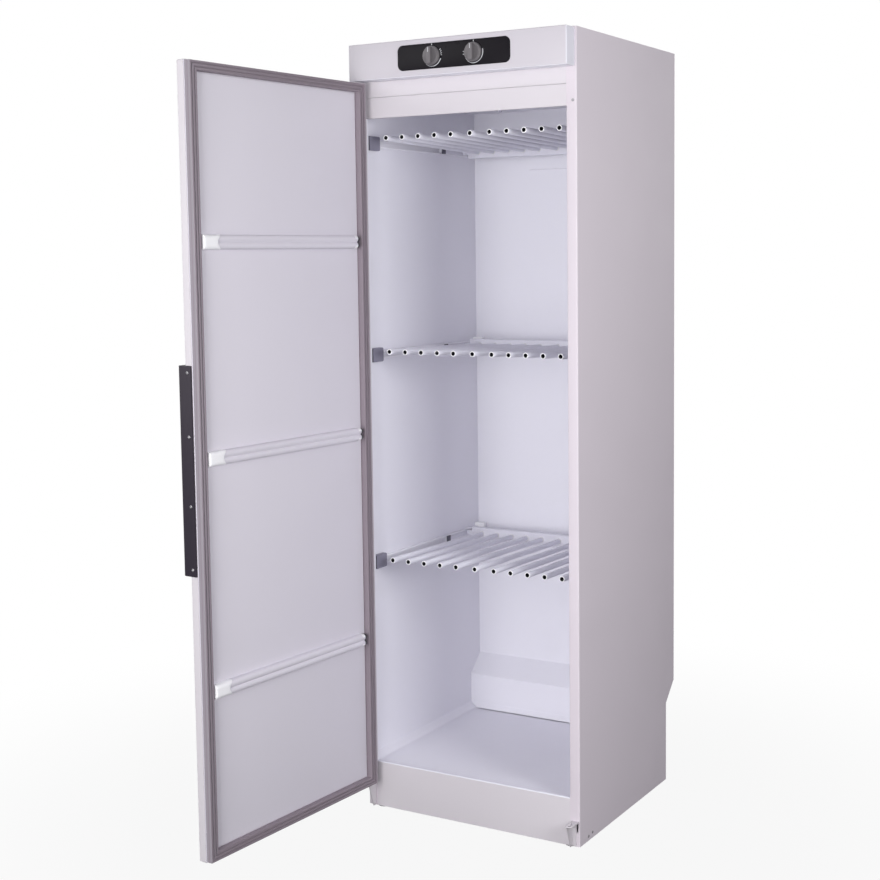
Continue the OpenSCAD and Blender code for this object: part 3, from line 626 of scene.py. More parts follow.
# Each finish: how it is made, its name, the setting of its colour or a fixed colour, and what differs
FINISHES = {
    "shell paint": (coated, "shell_paint", "shell", {}),
    "front paint": (coated, "front_paint", "front", {}),
    "fascia paint": (coated, "fascia_paint", "fascia", {}),
    "side paint": (coated, "side_paint", "side", {}),
    "rack paint": (coated, "rack_paint", "rack", {"grain": 1200.0}),
    "rail enamel": (coated, "rail_enamel", "rail", {}),
    "liner": (coated, "door_liner_plastic", "liner", {"grain": 1500.0, "smooth": 0.42, "rough": 0.55}),
    "gasket": (coated, "gasket_rubber", "gasket", RUBBER),
    # A lighter copy of the gasket rubber: painted highlight on the seal's outward flanks.
    "gasket base": (coated, "gasket_base_rubber", "seal_base", RUBBER),
    "handle": (coated, "handle_plastic", "handle", {
        "grain": 2200.0, "bump": 0.25, "smooth": 0.4, "rough": 0.52, "shade": 0.2, "specular": 0.15,
    }),
    "panel": (coated, "panel_gloss", "panel", {
        "grain": 300.0, "bump": 0.01, "smooth": 0.26, "rough": 0.34, "shade": 0.25, "specular": 0.08,
    }),
    "knob": (coated, "knob_plastic", "knob", {
        "grain": 2600.0, "bump": 0.12, "smooth": 0.3, "rough": 0.42, "shade": 0.12, "specular": 0.3,
    }),
    "cap": (coated, "cap_plastic", "cap", {"smooth": 0.25, "rough": 0.35}),
    "grey plastic": (coated, "grey_plastic", "block", MOULDED),
    # Painted shade on the blocks' front faces, and the shoes' own dark plastic.
    "dark grey plastic": (coated, "dark_grey_plastic", "block_front", {**MOULDED, "specular": 0.2}),
    "black plastic": (coated, "black_plastic", (0.035, 0.035, 0.04), {**MOULDED, "shade": 0.3}),
    "black enamel": (coated, "black_enamel", (0.03, 0.03, 0.035), {
        "grain": 500.0, "bump": 0.1, "shade": 0.3,
    }),
    "print": (coated, "panel_print", (0.62, 0.63, 0.66), {"smooth": 0.5, "rough": 0.6}),
    # The near-black bore is painted shade deep inside the tubes.
    "bore": (coated, "tube_bore", (0.012, 0.012, 0.016), {
        "smooth": 0.6, "rough": 0.8, "shade": 0.4, "specular": 0.1,
    }),
    "foam": (coated, "door_foam", (0.75, 0.7, 0.5), {
        "grain": 700.0, "bump": 0.6, "smooth": 0.8, "rough": 0.95, "shade": 0.2,
    }),
    "zinc": (metal, "zinc_sheet", (0.62, 0.63, 0.65), {"stretch": (60.0, 60.0, 60.0)}),
    "bright steel": (metal, "bright_steel", (0.7, 0.7, 0.72), {
        "stretch": (900.0, 900.0, 40.0), "contrast": 0.05,
    }),
    "screw steel": (metal, "screw_steel", (0.36, 0.35, 0.37), {
        "stretch": (200.0, 200.0, 200.0), "smooth": 0.35, "rough": 0.5, "contrast": 0.2,
    }),
    "heater": (metal, "heater_sheath", (0.2, 0.17, 0.15), {
        "stretch": (200.0, 200.0, 200.0), "contrast": 0.3,
    }),
}
SLOT_FINISH = {
    "white_steel": "shell paint", "rack_steel": "rack paint", "rail_steel": "rail enamel",
    "zinc_steel": "zinc", "bright_steel": "bright steel", "heater_sheath": "heater",
    "black_enamel": "black enamel", "panel_plastic": "panel", "knob_plastic": "knob",
    "handle_plastic": "handle", "white_plastic": "cap", "grey_plastic": "grey plastic",
    "black_plastic": "black plastic", "liner_plastic": "liner", "gasket_rubber": "gasket",
    "door_foam": "foam",
}


def material_of(finish):
    """The material of a finish."""
    make, label, colour, values = FINISHES[finish]
    if isinstance(colour, str):
        colour = getattr(colours(), colour)
    return make(label, colour, **values)


# ---- Settings ----


def colour_setting(name, description, default):
    """A colour that the user may change."""
    return FloatVectorProperty(name=name, description=description, subtype="COLOR", size=3, min=0.0,
                               max=1.0, default=default)


def length_setting(name, description, default):
    """A length that the user may change."""
    return FloatProperty(name=name, description=description, default=default, min=0.0, subtype="DISTANCE",
                         unit="LENGTH")


class CabinetColours(bpy.types.PropertyGroup):
    """Colours of the cabinet's finishes"""

    # Shell, front, fascia and side are one white paint at different brightness, set region by region to the
    # light: the lighter shell is painted light for the inside, the darker outer copies are painted shade,
    # and the fascia's is partly its own greyer colour and partly painted shade of the falloff at its top.
    shell: colour_setting("Shell", "Paint inside the cabinet", (0.86, 0.85, 0.92))
    front: colour_setting("Front", "Paint of the flanges, header and plinth", (0.655, 0.62, 0.66))
    fascia: colour_setting("Fascia", "Paint of the control fascia", (0.58, 0.55, 0.60))
    side: colour_setting("Side", "Paint of the outer sides", (0.68, 0.622, 0.68))
    rack: colour_setting("Racks", "Paint of the hanging tubes and their bars", (0.76, 0.75, 0.83))
    rail: colour_setting("Rails", "Enamel of the wall rails", (0.88, 0.87, 0.93))
    liner: colour_setting("Liner", "Inner face of the door", (0.72, 0.69, 0.76))
    gasket: colour_setting("Gasket", "Ribs of the seal round the door", (0.265, 0.222, 0.258))
    # The flank colour is a lighter copy of the gasket rubber, a painted highlight on the seal's outward
    # flanks.
    seal_base: colour_setting("Gasket base", "Flanks and grooves of the seal", (0.30, 0.272, 0.308))
    handle: colour_setting("Handle", "Door handle", (0.036, 0.030, 0.041))
    panel: colour_setting("Panel", "Dark control panel", (0.008, 0.0065, 0.0095))
    knob: colour_setting("Knobs", "Control knobs", (0.142, 0.132, 0.141))
    cap: colour_setting("Caps", "End caps of the door's rails", (0.96, 0.955, 0.98))
    block: colour_setting("Blocks", "End blocks of the wall rails", (0.26, 0.25, 0.32))
    # A darker copy of the block colour: painted shade on the front faces of the end blocks, and the own dark
    # colour of the racks' shoes.
    block_front: colour_setting("Block fronts", "Front faces of the end blocks and the racks' shoes",
                                (0.117, 0.1125, 0.144))
    floor: colour_setting("Floor", "Studio floor", (0.14, 0.14, 0.145))


class CabinetSizes(bpy.types.PropertyGroup):
    """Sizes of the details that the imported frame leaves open"""

    fold: length_setting("Fold", "Outer radius of a fold in the sheet steel", 0.0024)
    fascia_round: length_setting("Fascia edge", "Radius of the fascia's edges", 0.0025)
    door_round: length_setting("Door edge", "Radius of the door's outer edges", 0.003)
    knob_round: length_setting("Knob edge", "Radius of a knob's edges", 0.0012)
    print_height: length_setting("Print", "Height of the marks on the control panel", 0.0002)
    tube_round: length_setting("Tube edge", "Radius of a tube's cut end", 0.0003)
    ribs: IntProperty(name="Gasket ribs", description="Soft ribs along the gasket", default=3, min=1, max=6)


def lamp_power(name, description, default):
    """A lamp's power that the user may change."""
    return FloatProperty(name=name, description=description, default=default, min=0.0, subtype="POWER",
                         unit="POWER")


class CabinetStudio(bpy.types.PropertyGroup):
    """Light and camera of the studio"""

    side: lamp_power("Side light", "Power of the lamp on the right", 45.0)
    left: lamp_power("Left light", "Power of the lamp in front on the left", 35.0)
    low: lamp_power("Low light", "Power of the lamp that looks straight in", 82.0)
    back: lamp_power("Back light", "Power of the lamp behind on the left", 70.0)
    ambient: FloatProperty(name="Ambient", description="Strength of the light from all round", default=0.245,
                           min=0.0)


# ---- Pieces ----


class CABINET_OT_studio(bpy.types.Operator):
    """Lay the pale floor, hang the soft lamps and set up the camera"""

    bl_idname = "cabinet.studio"
    bl_label = "Studio"

    lamps = (
        ("side", (2.7, -0.95, 1.5), (0.3, 0.2, 1.3), 1.1),
        ("left", (-2.6, -3.2, 2.2), (0, 0, 1.0), 2.0),
        ("low", (0.3, -3.4, 1.2), (0, 0.3, 1.0), 1.8),
        ("back", (-2.2, 3.2, 2.9), (0, 0.3, 1.1), 2.0),
    )
    camera_place = Vector((1.78054, -3.02956, 1.39502))
    camera_yaw = 0.5273009
    camera_pitch = -0.0936489
    camera_roll = -0.0113081
    camera_lens, camera_film = 60.58, 36
    camera_shift = (-0.03588, -0.05317)
    camera_reach = 100
    floor_size, floor_cells = 60, 8
    floor_patches, floor_shade = 0.6, 0.02
    floor_near, floor_far = 0.6, 2.0
    floor_glow = 0.92
    ambient_tint = (0.95, 0.95, 1.0, 1.0)

    def lamp(self, name, place, aim, size, power):
        """A square soft lamp aimed at a point"""
        data = bpy.data.lights.new(name, "AREA")
        data.shape = "SQUARE"
        data.size = size
        data.energy = power
        lamp = bpy.data.objects.new(name, data)
        bpy.context.scene.collection.objects.link(lamp)
        lamp.location = place
        lamp.rotation_euler = (Vector(aim) - Vector(place)).to_track_quat("-Z", "Y").to_euler()

    def camera(self, scene):
        """The camera that was solved from the photograph"""
        data = bpy.data.cameras.new("camera")
        data.sensor_width = self.camera_film
        data.lens = self.camera_lens
        data.shift_x, data.shift_y = self.camera_shift
        data.clip_end = self.camera_reach
        camera = bpy.data.objects.new("camera", data)
        scene.collection.objects.link(camera)
        turn = (
            Matrix.Rotation(self.camera_yaw, 4, "Z")
            @ Matrix.Rotation(math.pi / 2 + self.camera_pitch, 4, "X")
            @ Matrix.Rotation(self.camera_roll, 4, "Z")
        )
        camera.matrix_world = Matrix.Translation(self.camera_place) @ turn
        scene.camera = camera

    def floor(self):
        """A wide floor that the camera sees nearly white, with the object's shadow on it"""
        deselect()
        cells = self.floor_cells
        bpy.ops.mesh.primitive_grid_add(x_subdivisions=cells, y_subdivisions=cells, size=self.floor_size)
        floor = settled("studio_floor")

        def build(nodes, shader):
            nodes.feed(shader.inputs, {
                "Base Color": toned(nodes, colours().floor, self.floor_shade, self.floor_patches),
                "Roughness": 0.9, "Specular IOR Level": 0.1,
            })
            glow = nodes.add("Emission", {"Color": WHITE, "Strength": 1.0})
            path = nodes.add("LightPath")
            reach = nodes.add("VectorMath", {0: nodes.place()}, operation="LENGTH")
            fade = nodes.add("MapRange", {
                "Value": reach["Value"], "From Min": self.floor_near, "From Max": self.floor_far,
                "To Min": self.floor_glow, "To Max": 1.0,
            }, interpolation_type="SMOOTHSTEP")
            seen = nodes.add("Math", {0: path["Is Camera Ray"], 1: fade["Result"]}, operation="MULTIPLY")
            mix = nodes.add("MixShader", {0: seen[0], 1: shader.outputs[0], 2: glow[0]})
            nodes.feed(nodes.tree.nodes["Material Output"].inputs, {0: mix[0]})
        floor.data.materials.append(new_finish("studio_floor", build))

    def world(self, ambient):
        """Even light from all round, which the camera, the gloss and glass see as white"""
        world = bpy.data.worlds.new("studio")
        world.use_nodes = True
        bpy.context.scene.world = world
        nodes = Nodes(world.node_tree)
        soft = world.node_tree.nodes["Background"]
        nodes.feed(soft.inputs, {"Color": self.ambient_tint, "Strength": ambient})
        white = nodes.add("Background", {"Color": WHITE, "Strength": 1.0})
        path = nodes.add("LightPath")
        clear = path["Is Camera Ray"]
        for ray in ("Is Glossy Ray", "Is Transmission Ray"):
            clear = nodes.add("Math", {0: clear, 1: path[ray]}, operation="MAXIMUM")[0]
        mix = nodes.add("MixShader", {0: clear, 1: soft.outputs[0], 2: white[0]})
        nodes.feed(world.node_tree.nodes["World Output"].inputs, {0: mix[0]})

    def execute(self, context):
        studio = context.scene.cabinet_studio
        self.camera(context.scene)
        for name, place, aim, size in self.lamps:
            self.lamp(name + "_lamp", place, aim, size, getattr(studio, name))
        self.floor()
        self.world(studio.ambient)
        context.scene.view_settings.view_transform = "Standard"
        return {"FINISHED"}


class CABINET_OT_sides(bpy.types.Operator):
    """Fold the two side panels, each with its front flange and lip"""

    bl_idname = "cabinet.sides"
    bl_label = "Side Panels"

    slot_low, slot_high = 0.038, 0.058
    slot_in = 0.0065
    slot_width = 0.004
    lip = 0.008
    lip_fold = 0.7
    notch_band = 0.01
    inner_lean = 0.5

    def execute(self, context):
        node = "right_side_panel"
        (inner, _, bottom), (skin, back, top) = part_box(node)
        points = [vertex.co for vertex in frame["nodes"][node].data.vertices]
        notch_y = max(point.y for point in points if point.z < bottom + self.notch_band)
        notch_z = max(point.z for point in points if near(point.y, notch_y, READ_GAP))
        slope_z = min(point.z for point in points if near(point.y, back, READ_GAP))
        lip_low, lip_high = high("plinth_panel").z, low("header_trim").z
        slot_x, half_slot = skin - self.slot_in, self.slot_width / 2
        fold = sizes().fold

        def by_lip(edge):
            return lip_low < middle(edge).z < lip_high

        def by_slot(face):
            return self.slot_low < middle(face).z < self.slot_high and near(middle(face).y, 0)

        panel = outline(node + "_sheet", [
            (skin, 0, bottom), (skin, 0, top), (skin, back, top), (skin, back, slope_z),
            (skin, notch_y, notch_z), (skin, notch_y, bottom),
        ])
        pick(panel, "edges", lying(y=0))
        extrude(inner - skin, 0, 0)
        for z in (lip_low, lip_high, self.slot_low, self.slot_high):
            cut(panel, (0, 0, z), (0, 0, 1), at(y=0))
        for x in (slot_x - half_slot, slot_x + half_slot):
            cut(panel, (x, 0, 0), (1, 0, 0), by_slot)
        open_up(panel, lambda face: by_slot(face) and near(middle(face).x, slot_x, half_slot))
        pick(panel, "edges", both(lying(x=inner), by_lip))
        extrude(0, self.lip, 0)
        round_off(panel, lying(x=skin, y=0), fold, 5)
        round_off(panel, both(lying(x=inner, y=0), by_lip), fold * self.lip_fold, 3)
        thicken(panel, (-1, 0, 0))
        # One folded sheet: its inner faces take the lighter shell copy and its outer faces the darker side
        # copy of the same white paint, as painted light inside and painted shade outside.
        painted(panel, "side paint", (
            "shell paint", lambda face: face.normal.x < -self.inner_lean and middle(face).y > self.lip / 2,
        ))
        left = mirrored(panel, "left_side_panel_sheet")
        finished(panel, "cabinet", "side paint", [node])
        finished(left, "cabinet", "side paint", ["left_side_panel"])
        return {"FINISHED"}


class CABINET_OT_front_sheets(bpy.types.Operator):
    """Fold the header trim, the plinth and the floor pan"""

    bl_idname = "cabinet.front_sheets"
    bl_label = "Header, Plinth and Floor"

    lip = 0.008
    seam_gap = 0.0003
    trim_fold, plinth_fold, floor_fold = 0.6, 1.4, 2
    top_lean = 0.3

    def header_trim(self, fold):
        """The trim below the header, with a lip under it and a web up to the ceiling"""
        near_corner, far_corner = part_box("header_trim")
        left, bottom = near_corner.x, near_corner.z
        seam, ceiling = low("header_panel").z - self.seam_gap, low("ceiling_panel").z
        trim = folded_sheet("header_trim_sheet", [
            (left, self.lip, bottom), (left, 0, bottom), (left, 0, seam), (left, self.lip, seam),
            (left, self.lip, ceiling),
        ], (far_corner.x - left, 0, 0), fold * self.trim_fold, (0, 1, 0))
        finished(trim, "cabinet", "front paint", ["header_trim"])

    def plinth(self, fold):
        """The plinth, whose top is folded back"""
        near_corner, far_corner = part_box("plinth_panel")
        left = near_corner.x
        plinth = folded_sheet("plinth_sheet", [
            (left, 0, near_corner.z), (left, 0, far_corner.z), (left, self.lip, far_corner.z),
        ], (far_corner.x - left, 0, 0), fold * self.plinth_fold, (0, 1, 0), 5)
        # The plinth's top fold is painted in the lighter rack paint as a painted highlight from light above.
        painted(plinth, "front paint", ("rack paint", facing(0, 0, 1, least=self.top_lean)))
        finished(plinth, "cabinet", "front paint", ["plinth_panel"])

    def floor_pan(self, fold):
        """The pan on the floor: its sides slope up to the walls, and its rear is folded up"""
        near_corner, far_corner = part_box("floor_pan")
        points = [vertex.co for vertex in frame["nodes"]["floor_pan"].data.vertices]
        right, flat_z = far_corner.x, near_corner.z + SHEET
        rim_z = max(point.z for point in points if near(point.x, right, READ_GAP))
        flat_x = right - (rim_z - flat_z)
        web_y = far_corner.y - SHEET
        pan = folded_sheet("floor_pan_sheet", [
            (-right, SHEET, rim_z), (-flat_x, SHEET, flat_z), (flat_x, SHEET, flat_z), (right, SHEET, rim_z),
        ], (0, web_y - SHEET, 0), fold * self.floor_fold, (0, 0, -1), 5)
        rear = folded_sheet("floor_pan_rear", [
            (-flat_x, web_y, rim_z), (-flat_x, web_y, flat_z), (-flat_x, web_y - self.lip, flat_z),
        ], (2 * flat_x, 0, 0), fold, (0, 1, 0))
        finished(joined("floor_pan_sheet", [pan, rear]), "cabinet", "shell paint",
                 ["floor_pan"])

    def execute(self, context):
        fold = sizes().fold
        self.header_trim(fold)
        self.plinth(fold)
        self.floor_pan(fold)
        return {"FINISHED"}


class CABINET_OT_fascia(bpy.types.Operator):
    """Press the control fascia and set the dark panel in it, with its printed marks"""

    bl_idname = "cabinet.fascia"
    bl_label = "Fascia and Panel"

    corner = 0.014
    panel_round = 0.0009
    end_slope = 0.3
    mark_width = 0.0012
    mark_length = 0.0042
    ring_gap = 0.0018
    thin, wide = 0.0005, 0.0022
    wedge_steps = 28
    timer_turns = (90, 30, 20, 10, 0)
    timer_sweep = (-132, -18)
    selector_turns = (90, 173, 187)
    selector_sweep = (-165, 14)

    def mark(self, points, front):
        """A printed mark on the panel"""
        mark = outline("mark", [(x, front, z) for x, z in points])
        return raised(mark, 0, -sizes().print_height, 0)

    def wedge(self, centre, front, start, end, inner):
        """An arc that grows wider from its start to its end"""
        outer = []
        for i in range(self.wedge_steps + 1):
            share = i / self.wedge_steps
            turn = math.radians(start + (end - start) * share)
            reach = inner + self.thin + (self.wide - self.thin) * share
            outer.append((centre[0] + reach * math.cos(turn), centre[1] + reach * math.sin(turn)))
        return self.mark(outer + arc(centre, inner, end, start, self.wedge_steps), front)

    def dash(self, centre, front, turn, inner):
        """A short straight mark that points at the knob"""
        turn = math.radians(turn)
        ray = Vector((math.cos(turn), math.sin(turn)))
        side = Vector((-ray.y, ray.x)) * self.mark_width / 2
        start = Vector(centre) + ray * inner
        end = start + ray * self.mark_length
        return self.mark([start + side, end + side, end - side, start - side], front)

    def sheet(self):
        """The pressed fascia, open at the back"""
        fascia = cube("fascia_sheet", *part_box("control_fascia"))
        open_up(fascia, facing(0, 1, 0))
        round_off(fascia, sharp, sizes().fascia_round, 4)
        thicken(fascia, (0, 1, 0))
        # The end faces are painted in the lighter rack paint as a painted highlight on the corners, and the
        # underside in the lighter shell paint to stand in for light that does not reach it.
        painted(fascia, "fascia paint",
                ("rack paint", lambda face: abs(face.normal.x) > self.end_slope),
                ("shell paint", facing(0, 0, -1, least=self.end_slope)))
        finished(fascia, "cabinet", "fascia paint", ["control_fascia"])

    def panel(self, near_corner, far_corner):
        """The dark panel, with round corners and a soft front edge"""
        centre = ((near_corner.x + far_corner.x) / 2, (near_corner.z + far_corner.z) / 2)
        width, height = far_corner.x - near_corner.x, far_corner.z - near_corner.z
        front, back = near_corner.y, low("control_fascia").y
        shape = round_rect(centre, width, height, self.corner)
        plate = raised(outline("control_panel_plate", [(x, back, z) for x, z in shape]), 0, front - back, 0)
        round_off(plate, both(sharp, at(y=front)), self.panel_round)
        finished(plate, "cabinet", "panel", ["control_insert"])

    def execute(self, context):
        self.sheet()
        near_corner, far_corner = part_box("control_insert")
        self.panel(near_corner, far_corner)
        front, marks = near_corner.y, []
        for knob, turns, sweep in (
            ("timer_knob", self.timer_turns, self.timer_sweep),
            ("selector_knob", self.selector_turns, self.selector_sweep),
        ):
            (left, _, bottom), (right, _, top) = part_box(knob)
            centre = ((left + right) / 2, (bottom + top) / 2)
            ring = (right - left) / 2 + self.ring_gap
            marks += [self.dash(centre, front, turn, ring) for turn in turns]
            marks.append(self.wedge(centre, front, *sweep, ring))
        finished(joined("panel_marks", marks), "cabinet", "print")
        return {"FINISHED"}


class CABINET_OT_knobs(bpy.types.Operator):
    """Turn the timer and selector knobs, each with a finger bar and a white line"""

    bl_idname = "cabinet.knobs"
    bl_label = "Knobs"

    sides = 72
    skirt = 0.006
    step = 0.002
    seat = 0.001
    bar_width = 0.011
    bar_gap = 0.0006
    bar_round = 0.42
    line_width = 0.0014
    line_start, line_end = 0.35, 0.0015
    line_rise, line_depth = 0.0002, 0.0008

    def execute(self, context):
        for name, body in (("timer", "timer_dial"), ("selector", "selector_dial")):
            (left, front, bottom), (right, back, top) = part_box(name + "_knob")
            x, z, radius = (left + right) / 2, (bottom + top) / 2, (right - left) / 2
            edge_round = sizes().knob_round
            disc = rod(name + "_knob_disc", (x, back, z), (x, back - self.skirt, z), radius, self.sides)
            pick(disc, "faces", facing(0, -1, 0))
            bpy.ops.mesh.inset(thickness=self.step)
            extrude(0, -self.step, 0)
            bpy.ops.mesh.inset(thickness=self.step)
            bpy.ops.mesh.inset(thickness=self.step, depth=-self.step / 2)
            round_off(disc, both(sharp, before(y=back - self.seat)), edge_round / 2, 2)
            half_bar, half_line = self.bar_width / 2, self.line_width / 2
            reach = radius - self.step - self.bar_gap
            bar = cube(name + "_knob_bar", (x - half_bar, front, z - reach),
                       (x + half_bar, back - self.skirt, z + reach))
            round_off(bar, along(1), self.bar_width * self.bar_round, 6)
            round_off(bar, both(sharp, at(y=front)), edge_round)
            knob = joined(name + "_knob_turned", [disc, bar])
            finished(knob, body, "knob", [name + "_knob"])
            line = cube(name + "_knob_line",
                        (x - half_line, front - self.line_rise, z + reach * self.line_start),
                        (x + half_line, front + self.line_depth, z + reach - self.line_end))
            finished(line, body, "print")
        return {"FINISHED"}


class CABINET_OT_door(bpy.types.Operator):
    """Form the door's outer pan, its inner plate and the ribbed gasket"""

    bl_idname = "cabinet.door"
    bl_label = "Door"

    border_gap = 0.0003
    field_slope = 0.003
    field_round = 0.35
    corner_clear = 0.03
    groove_depth = 0.003
    groove_width = 0.002
    rib_crown = 0.0014
    rib_lean = 0.0002
    shoulder_in, shoulder_down = 0.5, 0.3
    foot = 0.002
    flank_line = (0.0065, 0.009)
    flank_lean = 0.5
    opening_area = 0.5

    def pan(self):
        """The outer pan, open at the back"""
        pan = cube("door_pan_sheet", *closed_box("door_outer_pan"))
        open_up(pan, facing(0, 1, 0))
        round_off(pan, sharp, sizes().door_round, 4)
        thicken(pan, (0, 1, 0))
        finished(on_door(pan), "door", "front paint", ["door_outer_pan"])

    def liner(self, border, seat):
        """The inner plate, whose field stands up inside the gasket"""
        near_corner, far_corner = closed_box("door_inner_plate")
        plate = cube("door_liner", near_corner, (far_corner.x, seat, far_corner.z))
        pick(plate, "faces", facing(0, 1, 0))
        bpy.ops.mesh.inset(thickness=border)
        bpy.ops.mesh.inset(thickness=self.field_slope, depth=far_corner.y - seat)
        round_off(plate, lambda edge: sharp(edge) or near(middle(edge).y, far_corner.y),
                  self.field_slope * self.field_round)
        finished(on_door(plate), "door", "liner", ["door_inner_plate"])

    def gasket_width(self, gasket_low):
        """Width of the gasket, from the gap between its CAD node and the raised field"""
        points = [CLOSE_DOOR @ vertex.co for vertex in frame["nodes"]["door_gasket"].data.vertices]
        bottom = min(point.z for point in points if near(point.x, gasket_low.x, READ_GAP))
        inner = [point.x for point in points if point.x < 0 and point.z > bottom + self.corner_clear]
        return max(inner) - gasket_low.x

    def ribs(self, width, rise):
        """Section of the gasket's ribs and grooves, as insets from its edge and heights above its seat"""
        count, crown, lean = sizes().ribs, self.rib_crown, self.rib_lean
        shoulder, floor = rise - crown * self.shoulder_down, rise - self.groove_depth
        rib = (width - self.groove_width * (count - 1)) / count
        section = []
        for i in range(count):
            start = i * (rib + self.groove_width)
            end = start + rib
            section += [
                (start + lean, rise - crown), (start + crown * self.shoulder_in, shoulder),
                (start + crown, rise), (end - crown, rise), (end - crown * self.shoulder_in, shoulder),
                (end - lean, rise - crown), (end, floor), (end + self.groove_width, floor),
            ]
        return section[:-2]

    def gasket(self, gasket_low, gasket_high, width):
        """Soft seal: rounded ribs with grooves between them, mitred at the corners"""
        seal = cube("door_gasket_seal", gasket_low, (gasket_high.x, gasket_low.y + self.foot, gasket_high.z))
        pick(seal, "faces", facing(0, 1, 0))
        inset, height = 0.0, self.foot
        line_low, line_high = self.flank_line
        ribs = self.ribs(width, gasket_high.y - gasket_low.y)
        for next_inset, next_height in [(0.0, line_low), (0.0, line_high), *ribs, (width, 0.0)]:
            bpy.ops.mesh.inset(thickness=next_inset - inset, depth=next_height - height)
            inset, height = next_inset, next_height
        open_up(seal, lambda face: abs(face.normal.y) > ALIGNED and face.calc_area() > self.opening_area)
        centre = (gasket_low + gasket_high) / 2
        # The outward flanks and groove walls, all but the band at flank_line height, are painted lighter as
        # a painted highlight where light falls on them.
        painted(seal, "gasket", (
            "gasket base", lambda face: abs(face.normal.y) < self.flank_lean
            and face.normal.dot(middle(face) - centre) > 0
            and not line_low < middle(face).y - gasket_low.y < line_high,
        ))
        finished(on_door(seal), "door", "gasket", ["door_gasket"], angle=50)

    def execute(self, context):
        self.pan()
        gasket_low, gasket_high = closed_box("door_gasket")
        width = self.gasket_width(gasket_low)
        border = gasket_low.x - closed_box("door_inner_plate")[0].x + width + self.border_gap
        self.liner(border, gasket_low.y)
        self.gasket(gasket_low, gasket_high, width)
        return {"FINISHED"}


class CABINET_OT_handle(bpy.types.Operator):
    """Extrude the angled handle along the door's edge and drive in its screws"""

    bl_idname = "cabinet.handle"
    bl_label = "Handle"

    wall = 0.004
    heel, heel_cut = 0.006, 0.0018
    tip_in, tip_cut, tip_back = 0.0005, 0.0006, 0.0004
    root, root_cut = 0.004, 0.0012
    edge_round = 0.0006

    def execute(self, context):
        (left, front, base), (right, back, top) = closed_box("door_handle")
        edge, inside, half_wall = right - self.wall, front + self.wall, self.wall / 2
        section = [
            (edge, back), (right, back), (right, front + self.heel),
            (right - self.heel_cut, front + self.heel_cut), (right - self.heel, front),
            (left + half_wall, front), (left + self.tip_in, front + self.tip_cut), (left, front + half_wall),
            (left + self.tip_in, inside - self.tip_back), (left + half_wall, inside),
            (edge - self.root, inside), (edge - self.root_cut, inside + self.root_cut),
            (edge, inside + self.root),
        ]
        handle = raised(outline("door_handle_profile", [(x, y, base) for x, y in section]), 0, 0, top - base)
        round_off(handle, both(sharp, lambda edge: near(edge.verts[0].co.z, edge.verts[1].co.z, MERGE_GAP)),
                  self.edge_round, 2)
        finished(on_door(handle), "door", "handle", ["door_handle"], angle=30)

        heads = []
        for near_corner, far_corner in solid_boxes("handle_screws", CLOSE_DOOR):
            _, y, z = (near_corner + far_corner) / 2
            radius = (far_corner.z - near_corner.z) / 2
            heads.append(screw_head((near_corner.x, y, z), (far_corner.x, y, z), radius))
        finished(on_door(joined("handle_screw_heads", heads)), "door", "screw steel",
                 ["handle_screws"])
        return {"FINISHED"}


